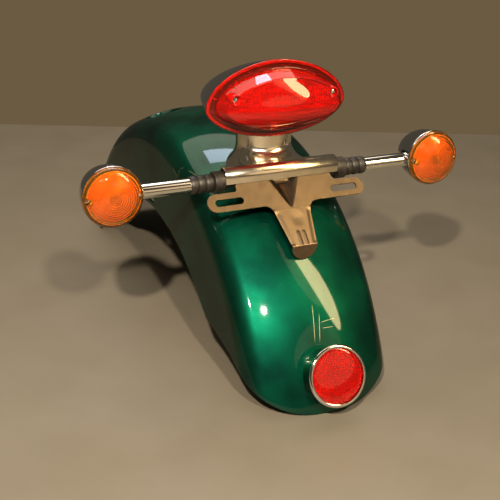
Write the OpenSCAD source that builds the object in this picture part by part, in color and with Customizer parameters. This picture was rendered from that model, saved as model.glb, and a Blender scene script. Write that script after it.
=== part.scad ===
// Rear fender of a motorcycle with its lamp group. The fender lies on the rear edge
// of its crown and on the two front corners of its skirts, crown up. X runs across,
// +Y towards the front edge and Z up from the surface that it lies on.

/* [Fender] */
// Radius of the crown line about the wheel axis
arc_r = 346; // [320:1:380]
// Angle of the rear tip above the horizontal through the wheel axis
tail_angle = 15.4; // [12:0.2:18]
// Angle of the front edge, measured from the rear over the top
front_angle = 161; // [155:1:163]
// Radius of the crown across the fender
crown_r = 210; // [180:5:260]
// Radius of the shoulders
shoulder_r = 30; // [22:1:36]
// Width over the shoulders
shoulder_w = 182; // [170:1:196]
// Outward lean of the skirts in degrees
skirt_draft = 3; // [1:0.5:5]
// Depth of the section from the crown to the lower edge
skirt_drop = 117; // [105:1:128]
// Thickness of the sheet
skin_t = 1.6; // [1.2:0.1:2]
// Width of the hem that is folded in along the edges
hem_w = 9; // [6:0.5:12]

/* [Fender outline] */
// Angle that the rounded rear edge gains by the end of the shoulders
tail_round = 10.2; // [8:0.2:13]
// Angle that the rear edge gains per millimetre down the skirts
skirt_slope = 0.222; // [0.19:0.002:0.25]
// Height of the flare above the lower edge where the rear edge turns forward
sweep_h = 20.5; // [15:0.5:26]
// Angle that this turn gains
sweep_angle = 40; // [34:1:46]
// Angle at which the lower edge starts to run out to the front corner
runout_angle = 122; // [116:1:128]

/* [Mounting pockets and slots] */
// Angle of the two mounting pockets along the crown
pocket_angle = 106.3; // [104:0.1:110]
// Distance of a pocket from the middle, along the sheet
pocket_s = 45; // [40:0.5:48]
// Inner radius of a pocket
pocket_r = 25; // [20:0.5:27]
// Depth of a pocket
pocket_depth = 8; // [6:0.5:10]
// Radius of the bolt hole in a pocket
pocket_bore_r = 5.5; // [4:0.25:7]
// Angle of the slot in each skirt
skirt_slot_angle = 92.3; // [90:0.1:98]
// Height of the slot above the lower edge
skirt_slot_h = 9; // [8:0.25:12]
// Length of the skirt slot
skirt_slot_l = 28; // [20:1:34]
// Width of the skirt slot
skirt_slot_w = 7; // [5:0.5:9]

/* [Lamp pedestal] */
// Angle of the pedestal along the crown
lamp_angle = 66.5; // [64:0.5:69]
// Width of the neck
neck_w = 68; // [60:1:76]
// Depth of the neck
neck_d = 56; // [50:1:60]
// How far the neck stands in front of the middle of the foot
neck_y = 8; // [6:0.5:10]
// Width of the foot
foot_w = 96; // [88:1:104]
// Depth of the foot
foot_d = 84; // [78:1:90]
// Height of the flare above the foot
flare_h = 34; // [28:1:38]
// Thickness of the rubber under the foot
gasket_t = 2; // [1:0.25:3]
// Radius of the wire passage
wire_r = 8; // [6:0.5:10]
// Distance of each pedestal bolt from the middle
ped_bolt_x = 27; // [24:0.5:29]
// Radius of the pedestal bolts
ped_bolt_r = 4; // [3:0.25:5]

/* [Crossbar] */
// Distance of the crossbar behind the middle of the foot
bar_y = 38; // [37:0.5:42]
// Height of the cover's axis above the middle of the foot
bar_z = 10.4; // [9:0.2:13]
// Length of the cover
bar_l = 144; // [132:2:156]
// Outer radius of the cover
bar_r = 11.5; // [11:0.25:13]
// Thickness of the cover
bar_t = 2; // [1.5:0.25:2.5]
// Height of the cover's lower edge above the middle of the foot
bar_edge_z = 4.3; // [3.5:0.1:5.5]
// Distance of the stem ribs from the middle
rib_x = 52; // [48:1:56]
// Thickness of the stem ribs
rib_t = 5; // [4:0.5:7]

/* [Turn signals] */
// Distance of a signal's axis from the middle
signal_x = 204; // [190:1:220]
// Radius of the rim
signal_r = 34.3; // [31:0.1:37]
// Length of the bullet body behind the rim
signal_l = 52; // [46:1:60]
// Distance of the rim in front of the stem's axis, towards the rear
signal_front = 12; // [11:0.5:15]
// Height of the signals' axes above the middle of the foot
signal_z = 6.7; // [4:0.1:9]
// Upward aim of the signals in degrees
signal_aim = 3; // [0:0.5:5]
// Height of the lens's dome
signal_dome = 15; // [11:0.5:18]
// Thickness of the signal's sheet
signal_t = 1.6; // [1.2:0.1:2]
// Distance of the lens screws from the axis
signal_screw_x = 28.2; // [27:0.2:28.6]
// Outer radius of the chromed stem tube
stem_r = 8.5; // [7:0.25:9]
// Height of the stem's axis above the middle of the foot
stem_z = 4.6; // [4:0.2:6]
// Distance at which the chromed tube goes into the rubber
boot_x = 112; // [104:1:120]
// Radius of the boot's collar
collar_r = 12.7; // [11:0.1:13.5]
// Length of the boot's collar
collar_l = 13; // [10:0.5:15]
// Radius of the threaded stud
stud_r = 4; // [3:0.25:5]

/* [Tail lamp] */
// Half width of the lens
lens_w = 87.5; // [80:0.5:95]
// Height of the lens above its widest line
lens_up = 51; // [45:0.5:56]
// Height of the lens below its widest line
lens_down = 38.5; // [34:0.5:44]
// Height of the widest line above the middle of the foot
lens_z = 85.7; // [84:0.5:92]
// Distance of the lens's flange behind the middle of the foot
lens_y = 22; // [21:0.5:24]
// Depth of the lens's side wall
lens_side = 20; // [16:0.5:24]
// Inward run of the side wall
lens_taper = 11; // [8:0.5:13]
// Width of the lens's flange
lens_flange = 9.5; // [8:0.5:11]
// Height of the lens's front face
lens_dome = 15; // [10:0.5:18]
// Thickness of the lens
lens_t = 2.6; // [2:0.1:3.2]
// Depth of the housing behind the lens
housing_d = 62; // [54:1:66]
// Thickness of the housing
housing_t = 2; // [1.5:0.1:2.6]
// Thickness of the rubber between housing and lens
lens_gasket_t = 2; // [1:0.25:3]
// Distance of the lens screws from the middle
lens_screw_x = 60.2; // [56:0.2:62]
// Height of the lens screws above the widest line
lens_screw_z = 13.6; // [8:0.2:16]
// Radius of the lens screws
lens_screw_r = 2; // [1.5:0.1:2.5]

/* [Plate bracket] */
// Thickness of the bracket's sheet
plate_t = 2; // [1.5:0.1:2.5]
// Lean of the plate from the vertical
plate_lean = 43; // [41:0.5:45]
// Lean of the leg from the vertical
leg_lean = 49; // [47:0.5:51]
// Half width of the bracket over its tabs
plate_x = 99.7; // [94:0.1:106]
// Half width of the upper edge
plate_top_x = 61; // [56:0.5:64]
// Step from the upper edge down to the tabs
plate_step = 9.3; // [7:0.1:11]
// Distance from the upper edge down to the tabs' lower edge
plate_h = 31; // [28:0.5:33]
// Distance from the upper edge down to the bend
bend_v = 38.5; // [36:0.5:42]
// Length of the leg from the bend to the fold
leg_l = 46; // [42:0.5:46]
// Half width of the leg at the bend
leg_top_x = 23; // [20:0.5:26]
// Half width of the leg at the fold
leg_end_x = 15.5; // [13:0.5:18]
// Distance between the centres of the two slots
slot_spacing = 146; // [136:1:152]
// Distance of the slots from the upper edge
slot_v = 20.3; // [18:0.1:22]
// Length of a slot
slot_l = 35; // [28:1:40]
// Width of a slot
slot_w = 8.5; // [6:0.5:10]
// Half width of the pressed valley at the upper edge
valley_x = 17.4; // [15:0.2:20]
// Distance from the upper edge to the valley's point
valley_v = 36; // [32:0.5:37]
// Half width of the tongue under the crossbar
tongue_x = 13; // [12:0.5:15]

/* [Round reflector] */
// Angle of the reflector along the crown
reflex_angle = 22.8; // [21:0.2:26]
// Depth of the cup at its axis
reflex_depth = 25; // [20:0.5:30]
// Radius of the ring
reflex_r = 35; // [30:0.5:38]
// Radius of the cup where it meets the fender
reflex_foot_r = 27; // [22:0.5:30]
// Radius of the bead on the ring
reflex_bead = 2.5; // [2:0.1:3.5]
// Radius of the stud
reflex_stud_r = 3; // [2:0.25:4]

/* [Fits] */
// Radial clearance of bolts and screws in their holes
bolt_gap = 0.3; // [0.1:0.05:0.5]
// Radial clearance of threads and sliding fits
fit_gap = 0.1; // [0.05:0.05:0.2]

/* [Hidden] */

// Colours of the pieces
paint_green = [0.06, 0.38, 0.26];
polished = [0.85, 0.84, 0.8];
chrome = [0.8, 0.82, 0.85];
stainless = [0.72, 0.62, 0.48];
black_rubber = [0.08, 0.08, 0.08];
red_clear = [0.85, 0.05, 0.03];
amber_clear = [1, 0.45, 0.05];
zinc = [0.7, 0.7, 0.66];
glass_clear = [0.9, 0.92, 0.92];
phenolic = [0.3, 0.2, 0.12];

// Angles of the section
crown_a = asin((shoulder_w / 2 - shoulder_r * cos(skirt_draft)) / (crown_r - shoulder_r));
skirt_a = 90 - skirt_draft;
// Lengths along the section from the middle of the crown
rad = 180 / PI;
crown_len = crown_r * crown_a / rad;
shoulder_end = crown_len + shoulder_r * (skirt_a - crown_a) / rad;
shoulder_drop = crown_r - (crown_r - shoulder_r) * cos(crown_a) - shoulder_r * cos(skirt_a);
section_len = shoulder_end + (skirt_drop - shoulder_drop) / cos(skirt_draft);
sweep_s = section_len - sweep_h;
crown_steps = 6;
shoulder_steps = 7;

// Radii of the lower edge and of the front corners, which lie level with the rear tip
edge_r = arc_r - skirt_drop;
corner_r = arc_r * sin(tail_angle) / sin(180 - front_angle);
// How the outline bends: along the rear edge, at its turn and along the runout
tail_power = 2.6;
sweep_power = 3;
runout_power = 1.1;
outline_step = 5;
outline_margin = 20;

// The wheel axis, with the model centred between the reflector's bead and the front edge
bead_out = reflex_depth - reflex_bead;
bead_ring_r = reflex_r - reflex_bead;
rear_reach = (arc_r + bead_out) * cos(reflex_angle) + bead_ring_r * sin(reflex_angle)
    + reflex_bead;
front_reach = arc_r * cos(180 - front_angle);
arc_y = (rear_reach - front_reach) / 2;
arc_z = -arc_r * sin(tail_angle);

// The middle of the pedestal's foot on the crown
seat_y = arc_y - arc_r * cos(lamp_angle);
seat_z = arc_z + arc_r * sin(lamp_angle);

// How far cuts run past a face
over = 1;
// Overlap that joins two forms of one piece
weld = 0.4;
fine = 64;
mid = 40;

// Place on the section at length s from the middle, g outside the sheet's outer face
function tilt(s) =
    s < crown_len ? s / crown_r * rad
    : s < shoulder_end ? crown_a + (s - crown_len) / shoulder_r * rad
    : skirt_a;
function across(s, g = 0) =
    s < crown_len ? (crown_r + g) * sin(tilt(s))
    : (crown_r - shoulder_r) * sin(crown_a) + (shoulder_r + g) * sin(tilt(s))
        + max(0, s - shoulder_end) * sin(skirt_draft);
function drop(s, g = 0) =
    s < crown_len ? crown_r - (crown_r + g) * cos(tilt(s))
    : crown_r - (crown_r - shoulder_r) * cos(crown_a) - (shoulder_r + g) * cos(tilt(s))
        + max(0, s - shoulder_end) * cos(skirt_draft);
stations = [
    for (i = [0:crown_steps]) crown_len * i / crown_steps,
    for (i = [1:shoulder_steps]) crown_len + (shoulder_end - crown_len) * i / shoulder_steps,
    section_len
];
last = len(stations) - 1;

// One side of the section as [radius, across] points
function half_section(g) = [for (s = stations) [arc_r - drop(s, g), across(s, g)]];
function flip(points) = [for (i = [len(points) - 1:-1:0]) [points[i][0], -points[i][1]]];
function turned(points) = [for (i = [len(points) - 1:-1:0]) points[i]];

// Angle of the rear edge at length s of the section
function rear_angle(s) =
    s < shoulder_end ? tail_angle + tail_round * pow(s / shoulder_end, tail_power)
    : tail_angle + tail_round + skirt_slope * (s - shoulder_end)
        + (s > sweep_s ? sweep_angle * pow((s - sweep_s) / sweep_h, sweep_power) : 0);
function polar(r, t) = [-r * cos(t), r * sin(t)];
function runout_r(t) = edge_r + (corner_r - edge_r)
    * pow((t - runout_angle) / (front_angle - runout_angle), runout_power);
sweep_steps = 8;
edge_stations = [
    for (i = [0:crown_steps]) crown_len * i / crown_steps,
    for (i = [1:shoulder_steps]) crown_len + (shoulder_end - crown_len) * i / shoulder_steps,
    for (i = [1:sweep_steps]) shoulder_end + (sweep_s - shoulder_end) * i / sweep_steps,
    for (i = [1:sweep_steps]) sweep_s + sweep_h * i / sweep_steps
];
edge_steps = ceil((runout_angle - rear_angle(section_len)) / outline_step);
runout_steps = ceil((front_angle - runout_angle) / outline_step);
outer_steps = ceil((front_angle - tail_angle) / (2 * outline_step));
side_outline = [
    polar(arc_r + outline_margin, tail_angle),
    for (s = edge_stations) polar(arc_r - drop(s), rear_angle(s)),
    for (i = [1:edge_steps])
        polar(edge_r, rear_angle(section_len)
            + (runout_angle - rear_angle(section_len)) * i / edge_steps),
    for (i = [1:runout_steps])
        let (t = runout_angle + (front_angle - runout_angle) * i / runout_steps)
            polar(runout_r(t), t),
    for (i = [0:outer_steps - 1])
        polar(arc_r + outline_margin,
            front_angle + (tail_angle - front_angle) * i / outer_steps)
];

// Height of the crown above the foot's middle at x across and y forward of it
function crown_z(x, y) =
    arc_z - seat_z + sqrt(pow(arc_r - crown_r + sqrt(crown_r * crown_r - x * x), 2)
        - pow(y + seat_y - arc_y, 2));

module at_axis() {
    translate([0, arc_y, arc_z]) children();
}

module at_seat() {
    translate([0, seat_y, seat_z]) children();
}

// Sets children on the sheet's outer face with +Z out of it and +Y towards the front
module on_skin(s, t) {
    at_axis()
        rotate([90 - t, 0, 0])
            translate([sign(s) * across(abs(s)), 0, arc_r - drop(abs(s))])
                rotate([0, sign(s) * tilt(abs(s)), 0]) children();
}

// The whole ring of the section between two faces, g_in inside g_out
module section_ring(g_out, g_in) {
    outer = half_section(g_out);
    inner = half_section(g_in);
    profile = concat(
        flip([for (i = [1:last]) outer[i]]), outer,
        turned(inner), [for (i = [1:last]) [inner[i][0], -inner[i][1]]]
    );
    at_axis() rotate([0, 90, 0]) rotate_extrude($fn = 180) polygon(profile);
}

// Everything that lies inside the face g outside the sheet, near the pedestal or cup
module under_skin(g) {
    outer = half_section(g);
    core_r = edge_r - outline_margin;
    profile = concat(
        flip([for (i = [1:last]) outer[i]]), outer,
        [[core_r, outer[last][1]], [core_r, -outer[last][1]]]
    );
    at_axis() rotate([0, 90, 0]) rotate_extrude($fn = 180) polygon(profile);
}

// The side outline through the full width, with its edge moved in by an inset
module side_trim(inset) {
    at_axis()
        rotate([90, 0, 90])
            linear_extrude(height = 2 * shoulder_w, center = true)
                offset(delta = -inset) polygon(side_outline);
}

// A closed body through rings of points, each ring with the same number
module loft(rings) {
    n = len(rings[0]);
    m = len(rings);
    polyhedron(
        points = [for (ring = rings) each ring],
        faces = [
            [for (i = [0:n - 1]) i],
            for (k = [0:m - 2], i = [0:n - 1])
                let (j = (i + 1) % n)
                    [k * n + i, (k + 1) * n + i, (k + 1) * n + j, k * n + j],
            [for (i = [n - 1:-1:0]) (m - 1) * n + i]
        ]
    );
}

module tube(r_out, r_in, h) {
    difference() {
        cylinder(r = r_out, h = h, $fn = mid);
        translate([0, 0, -over]) cylinder(r = r_in, h = h + 2 * over, $fn = mid);
    }
}

// A slot along Y with round ends, cut through both ways
module slot_cut(l, w, h) {
    end = (l - w) / 2;
    cube([w, 2 * end, h], center = true);
    for (side = [-1, 1])
        translate([0, side * end, 0]) cylinder(r = w / 2, h = h, center = true, $fn = mid);
}

// A hexagon bolt along Z: its head from -head_h to 0 and its shank above
module hex_bolt(r, l, head_h) {
    head_r = 1.85 * r;
    translate([0, 0, -head_h]) cylinder(r = head_r, h = head_h, $fn = 6);
    cylinder(r = r, h = l, $fn = mid);
}

module hex_nut(r, h) {
    difference() {
        cylinder(r = 1.85 * r, h = h, $fn = 6);
        translate([0, 0, -over]) cylinder(r = r + fit_gap, h = h + 2 * over, $fn = mid);
    }
}

// A screw with a domed, slotted head on Z = 0 and its shank below
module slotted_screw(r, head_r, l) {
    head_h = 0.6 * head_r;
    difference() {
        union() {
            intersection() {
                cylinder(r = head_r, h = head_h, $fn = mid);
                translate([0, 0, head_h - 1.6 * head_r]) sphere(r = 1.6 * head_r, $fn = mid);
            }
            translate([0, 0, -l]) cylinder(r = r, h = l + weld, $fn = mid);
        }
        translate([-head_r - over, -0.15 * head_r, head_h / 2])
            cube([2 * (head_r + over), 0.3 * head_r, head_h]);
    }
}

// Fender: a pressed sheet with folded hem, two bolt pockets and a slot in each skirt
pocket_wall = skin_t;
hole_reach = 12;
module pocket_cup() {
    floor_z = -pocket_depth;
    fillet = 3.5;
    outer_r = pocket_r + pocket_wall;
    rotate_extrude($fn = fine)
        polygon(concat(
            [[0, floor_z - pocket_wall]],
            [for (a = [0:15:90]) [outer_r - fillet + fillet * sin(a),
                floor_z - pocket_wall + fillet - fillet * cos(a)]],
            [[outer_r, over], [pocket_r, over]],
            [for (a = [90:-15:0]) [pocket_r - fillet + fillet * sin(a),
                floor_z + fillet - fillet * cos(a)]],
            [[0, floor_z]]
        ));
}

skirt_slot_s = section_len - skirt_slot_h;
module fender() {
    color(paint_green)
        difference() {
            union() {
                difference() {
                    union() {
                        intersection() {
                            section_ring(0, -skin_t);
                            side_trim(0);
                        }
                        intersection() {
                            section_ring(-skin_t + over / 100, -2 * skin_t);
                            difference() {
                                side_trim(0);
                                side_trim(hem_w);
                            }
                        }
                    }
                    for (side = [-1, 1])
                        on_skin(side * pocket_s, pocket_angle)
                            cylinder(r = pocket_r + weld, h = 2 * hole_reach, center = true, $fn = fine);
                }
                intersection() {
                    for (side = [-1, 1])
                        on_skin(side * pocket_s, pocket_angle) pocket_cup();
                    under_skin(0);
                }
            }
            for (side = [-1, 1]) {
                on_skin(side * pocket_s, pocket_angle)
                    translate([0, 0, -pocket_depth])
                        cylinder(r = pocket_bore_r, h = hole_reach, center = true, $fn = mid);
                on_skin(side * skirt_slot_s, skirt_slot_angle)
                    slot_cut(skirt_slot_l, skirt_slot_w, hole_reach);
                on_skin(side * ped_bolt_x, lamp_angle)
                    cylinder(r = ped_bolt_r + bolt_gap, h = hole_reach, center = true, $fn = mid);
            }
            on_skin(0, lamp_angle) cylinder(r = wire_r, h = hole_reach, center = true, $fn = mid);
            on_skin(0, reflex_angle)
                cylinder(r = reflex_stud_r + bolt_gap, h = hole_reach, center = true, $fn = mid);
        }
}

// Pedestal: one casting of neck, flared foot and the cover over the stems
ring_n = 48;
foot_edge = 4.5;
flare_steps = 7;
flare_power = 2.4;
neck_top = lens_z;
function foot_ring(w, d, y0, follow, h) = [
    for (i = [0:ring_n - 1])
        let (
            a = 360 * i / ring_n,
            x = w / 2 * cos(a),
            y = y0 + d / 2 * sin(a)
        )
            [x, y, follow * crown_z(x, y) + h]
];
function mix(a, b, q) = a + (b - a) * q;
function flare_ring(q) =
    let (f = pow(1 - q, flare_power))
        foot_ring(mix(neck_w, foot_w, f), mix(neck_d, foot_d, f), neck_y * (1 - f),
            1 - q, mix(foot_edge, flare_h, q));
module neck_loft() {
    loft([
        foot_ring(foot_w, foot_d, 0, 0, -foot_d / 2),
        for (k = [0:flare_steps]) flare_ring(k / flare_steps),
        foot_ring(neck_w, neck_d, neck_y, 0, neck_top)
    ]);
}

// The half pipe's section in the YZ plane, grown or shrunk by g, run along X
module bar_run(g, x0, x1, low_z) {
    r = bar_r + g;
    translate([x0, -bar_y, bar_z]) rotate([90, 0, 90]) linear_extrude(height = x1 - x0) {
        intersection() {
            circle(r = r, $fn = fine);
            translate([-r, 0]) square([2 * r, r]);
        }
        translate([-r, low_z - bar_z]) square([2 * r, bar_z - low_z + weld]);
    }
}

boss_x = tongue_x - 1;
boss_back = 6;
tongue_z = -0.6;
tongue_front = 6;
// Room left under the boss for the tongue and its bolt heads
tongue_room = 7;
stem_rib_r = 8.6;
web_low = bar_edge_z + 1;
// The saddle: a hollow curve from the neck's foot down to the top of the bar
saddle_z = 38;
saddle_steps = 6;
saddle_out = 1.15;
function saddle_share(a) = min(1, 1.2 * sqrt(max(0, -sin(a))));
function saddle_ring(p, low) = [
    for (i = [0:ring_n - 1])
        let (
            a = 360 * i / ring_n,
            f = saddle_share(a),
            x = (neck_w / 2 - weld) * cos(a),
            y = neck_y + (neck_d / 2 - weld) * sin(a),
            land = mix(bar_z, bar_z + bar_r - 0.4, f)
        )
            [x * (1 + (saddle_out - 1) * p * min(1, 3 * f)), mix(y, -bar_y, p * f),
                saddle_z - (saddle_z - land) * low]
];
module saddle() {
    loft([
        [for (v = saddle_ring(1, 1)) [v[0], v[1], web_low]],
        for (k = [0:saddle_steps])
            let (b = 90 - 90 * k / saddle_steps) saddle_ring(1 - cos(b), sin(b))
    ]);
}
module pedestal_solid() {
    neck_loft();
    bar_run(0, -bar_l / 2, bar_l / 2, bar_edge_z);
    saddle();
}
module pedestal() {
    color(polished)
        difference() {
            union() {
                difference() {
                    at_seat() pedestal_solid();
                    at_seat() for (side = [-1, 1])
                        mirror([side < 0 ? 1 : 0, 0, 0])
                            bar_run(-bar_t, boss_x, bar_l / 2 + over, bar_edge_z - over);
                }
                at_seat() for (side = [-1, 1])
                    mirror([side < 0 ? 1 : 0, 0, 0]) {
                        bar_run(-bar_t + weld, rib_x, rib_x + rib_t, bar_edge_z);
                        translate([rib_x, -bar_y, stem_z])
                            rotate([0, 90, 0]) cylinder(r = stem_rib_r, h = rib_t, $fn = fine);
                    }
                at_seat() translate([-boss_x, -bar_y - boss_back, tongue_z])
                    cube([2 * boss_x, bar_y, bar_z - tongue_z]);
            }
            under_skin(gasket_t);
            housing_solid(0);
            at_seat() translate([-tongue_x - over, -bar_y - bar_r - over, tongue_z - tongue_room])
                cube([2 * (tongue_x + over), bar_r + tongue_front + 2 * over, tongue_room]);
            on_skin(0, lamp_angle) cylinder(r = wire_r, h = foot_w, $fn = mid);
            at_seat() translate([0, neck_y, 0]) cylinder(r = wire_r, h = lens_z, $fn = mid);
            for (side = [-1, 1])
                on_skin(side * ped_bolt_x, lamp_angle)
                    cylinder(r = ped_bolt_r + fit_gap, h = ped_bolt_deep + over, $fn = mid);
            at_seat() for (side = [-1, 1]) {
                translate([side * bracket_bolt_x, -bar_y, tongue_z - over])
                    cylinder(r = bracket_bolt_r + fit_gap, h = bracket_bolt_l + over, $fn = mid);
                translate([side * rib_x, -bar_y, stem_z])
                    rotate([0, 90, 0])
                        cylinder(r = stud_r + bolt_gap, h = 3 * rib_t, center = true, $fn = mid);
                translate([side * housing_screw_x, housing_screw_y, 0])
                    cylinder(r = housing_screw_r + fit_gap, h = lens_z, $fn = mid);
            }
        }
}

module pedestal_gasket() {
    lip = 1;
    color(black_rubber)
        difference() {
            intersection() {
                at_seat() translate([0, 0, -foot_d])
                    linear_extrude(height = 2 * foot_d)
                        polygon([for (i = [0:ring_n - 1])
                            [(foot_w / 2 + lip) * cos(360 * i / ring_n),
                                (foot_d / 2 + lip) * sin(360 * i / ring_n)]]);
                under_skin(gasket_t);
                translate([0, 0, arc_z]) cylinder(r = arc_r, h = 2 * arc_r, $fn = mid);
            }
            under_skin(0);
            on_skin(0, lamp_angle) cylinder(r = wire_r, h = hole_reach, center = true, $fn = mid);
            for (side = [-1, 1])
                on_skin(side * ped_bolt_x, lamp_angle)
                    cylinder(r = ped_bolt_r + bolt_gap, h = hole_reach, center = true, $fn = mid);
        }
}

ped_bolt_deep = 16;
washer_t = 1.6;
// A flat washer under the arched sheet touches with its rim
washer_gap = 0.3;
ped_washer_r = 2.2 * ped_bolt_r;
module pedestal_bolts() {
    under = skin_t + washer_gap + washer_t;
    color(zinc)
        for (side = [-1, 1])
            on_skin(side * ped_bolt_x, lamp_angle)
                translate([0, 0, -under]) hex_bolt(ped_bolt_r, under + ped_bolt_deep, 5.5);
}
module pedestal_washers() {
    color(zinc)
        for (side = [-1, 1])
            on_skin(side * ped_bolt_x, lamp_angle)
                translate([0, 0, -skin_t - washer_gap - washer_t])
                    tube(ped_washer_r, ped_bolt_r + bolt_gap, washer_t);
}

// Plate bracket: leaning plate with two tabs, a pressed valley, a leg and a folded tip
plate_y = -bar_y - bar_r + 0.6;
plate_z = bar_edge_z - 0.4;
// Sets children in the plate's plane: X across, Y up the plate, Z out of its rear face
module in_plate() {
    at_seat() translate([0, plate_y, plate_z])
        rotate([90 - plate_lean, 0, 0]) children();
}
bend_y = plate_y - bend_v * sin(plate_lean);
bend_z = plate_z - bend_v * cos(plate_lean);
module in_leg() {
    at_seat() translate([0, bend_y, bend_z])
        rotate([90 - leg_lean, 0, 0]) children();
}
plate_round = 6;
module plate_outline() {
    mirrored = [
        [valley_x, 0], [plate_top_x, 0], [plate_top_x, -plate_step], [plate_x, -plate_step],
        [plate_x, -plate_h], [leg_top_x + plate_round, -plate_h], [leg_top_x, -bend_v]
    ];
    side = concat(mirrored, [[0, -bend_v]], [[0, -valley_v]]);
    for (s = [0, 1])
        mirror([s, 0, 0]) polygon(side);
}
module plate_bracket() {
    fold_y = -leg_l;
    color(stainless)
        difference() {
            union() {
                in_plate() difference() {
                    translate([0, 0, -plate_t]) linear_extrude(height = plate_t)
                        offset(r = plate_round / 2, $fn = mid) offset(delta = -plate_round / 2)
                            offset(r = -plate_round, $fn = mid) offset(delta = plate_round)
                                plate_outline();
                    for (side = [-1, 1])
                        translate([side * slot_spacing / 2, -slot_v, 0])
                            rotate([0, 0, 90]) slot_cut(slot_l, slot_w, 3 * plate_t);
                }
                in_leg() translate([0, 0, -plate_t]) linear_extrude(height = plate_t)
                    polygon([[leg_top_x, weld], [leg_end_x, fold_y - tip_weld],
                        [-leg_end_x, fold_y - tip_weld], [-leg_top_x, weld]]);
                tip_flange();
                valley();
            }
            at_seat() for (side = [-1, 1])
                translate([side * bracket_bolt_x, -bar_y, tongue_z - 2 * plate_t])
                    cylinder(r = bracket_bolt_r + bolt_gap, h = 3 * plate_t, $fn = mid);
        }
}
// The rounded tip folded down onto the fender, past a bend about the sheet's inner edge
tip_straight = 1;
tip_fold = 55;
tip_weld = 0.3;
function turn_2d(p, a) = [p[0] * cos(a) - p[1] * sin(a), p[0] * sin(a) + p[1] * cos(a)];
module tip_flange() {
    tip_x = leg_end_x - tip_weld;
    core = [[0.8, 0.25], [0.8, plate_t - 0.25]];
    in_leg() translate([0, -leg_l, -plate_t]) {
        translate([-tip_x + tip_weld, 0, 0]) rotate([90, 0, 90])
            linear_extrude(height = 2 * (tip_x - tip_weld))
                polygon(concat(core,
                    [for (i = [0:4])
                        let (a = 90 + tip_fold * i / 4)
                            [(plate_t - 0.1) * cos(a), (plate_t - 0.1) * sin(a)]],
                    [turn_2d([-0.8, plate_t - 0.25], tip_fold), turn_2d([-0.8, 0.25], tip_fold)]));
        rotate([tip_fold, 0, 0])
            linear_extrude(height = plate_t)
                union() {
                    translate([-tip_x, -tip_straight])
                        square([2 * tip_x, tip_straight + weld]);
                    intersection() {
                        translate([0, -tip_straight]) circle(r = tip_x, $fn = fine);
                        translate([-2 * tip_x, -tip_straight - 2 * tip_x])
                            square([4 * tip_x, 2 * tip_x + tip_weld]);
                    }
                }
    }
}
// Two leaning sides and a floor run from the valley's point up to the tongue
module valley() {
    bead = plate_t / 2;
    point = [0, plate_y - valley_v * sin(plate_lean), plate_z - valley_v * cos(plate_lean)];
    tongue_back = -bar_y - boss_back - 2;
    root_z = tongue_z - bead;
    at_seat() {
        for (side = [-1, 1])
            hull() {
                translate(point) sphere(r = bead, $fn = 16);
                translate([side * valley_x, plate_y, plate_z - bead]) sphere(r = bead, $fn = 16);
                translate([side * tongue_x, tongue_back, root_z]) sphere(r = bead, $fn = 16);
            }
        hull() {
            translate(point) sphere(r = bead, $fn = 16);
            for (side = [-1, 1])
                translate([side * tongue_x, tongue_back, root_z]) sphere(r = bead, $fn = 16);
        }
        translate([-tongue_x, tongue_back, tongue_z - plate_t])
            cube([2 * tongue_x, boss_back + 2 + tongue_front, plate_t]);
    }
}

bracket_bolt_x = 7.5;
bracket_bolt_r = 2.5;
bracket_bolt_l = 12;
module bracket_bolts() {
    color(zinc)
        at_seat() for (side = [-1, 1])
            translate([side * bracket_bolt_x, -bar_y, tongue_z - plate_t])
                hex_bolt(bracket_bolt_r, plate_t + bracket_bolt_l - over, 3.5);
}

// Tail lamp outline: an oval with slightly pointed ends, flatter below
lens_n = 64;
lens_power = 2 / 1.85;
function signed_pow(v, p) = sign(v) * pow(abs(v), p);
// A ring of the outline, moved in by an inset, scaled by k and set at y
function lens_ring(inset, k, y) = [
    for (i = [0:lens_n - 1])
        let (
            a = -360 * i / lens_n,
            h = sin(a) < 0 ? lens_down : lens_up
        )
            [
                k * (lens_w - inset) * signed_pow(cos(a), lens_power),
                y,
                k * (h - inset) * signed_pow(sin(a), lens_power)
            ]
];
module at_lens() {
    at_seat() translate([0, -lens_y, lens_z]) children();
}

// Housing steps as [share of the depth, inset]
housing_form = [[0, 2], [0.3, 3], [0.62, 5.5], [0.85, 9.5], [0.96, 14], [1, 19]];
module housing_solid(g) {
    at_lens() loft([
        for (step = housing_form)
            lens_ring(step[1] - g, 1, lens_gasket_t + step[0] * (housing_d + g))
    ]);
}
module lens_screw_places() {
    for (side = [-1, 1])
        translate([side * lens_screw_x, 0, lens_screw_z]) rotate([90, 0, 0]) children();
}
post_r = 2.4 * lens_screw_r;
module tail_housing() {
    inner_back = housing_d - housing_t;
    color(chrome)
        difference() {
            union() {
                difference() {
                    housing_solid(0);
                    at_lens() loft([
                        lens_ring(housing_form[0][1] + housing_t, 1, lens_gasket_t - over),
                        for (step = housing_form)
                            lens_ring(step[1] + housing_t, 1, lens_gasket_t + step[0] * inner_back)
                    ]);
                }
                intersection() {
                    at_lens() lens_screw_places()
                        translate([0, 0, -housing_d]) cylinder(r = post_r, h = housing_d - lens_gasket_t,
                            $fn = mid);
                    housing_solid(0);
                }
            }
            at_lens() lens_screw_places()
                translate([0, 0, -lens_gasket_t - 14])
                    cylinder(r = lens_screw_r + fit_gap, h = 15, $fn = mid);
            at_seat() translate([0, neck_y, 0]) cylinder(r = wire_r, h = lens_z, $fn = mid);
            at_seat() for (side = [-1, 1])
                translate([side * housing_screw_x, housing_screw_y, 0])
                    cylinder(r = housing_screw_r + bolt_gap, h = lens_z, $fn = mid);
            at_lens() translate([0, housing_d - over, 0])
                rotate([-90, 0, 0])
                    cylinder(r = socket_r, h = 3 * housing_t, center = true, $fn = mid);
        }
}

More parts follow.
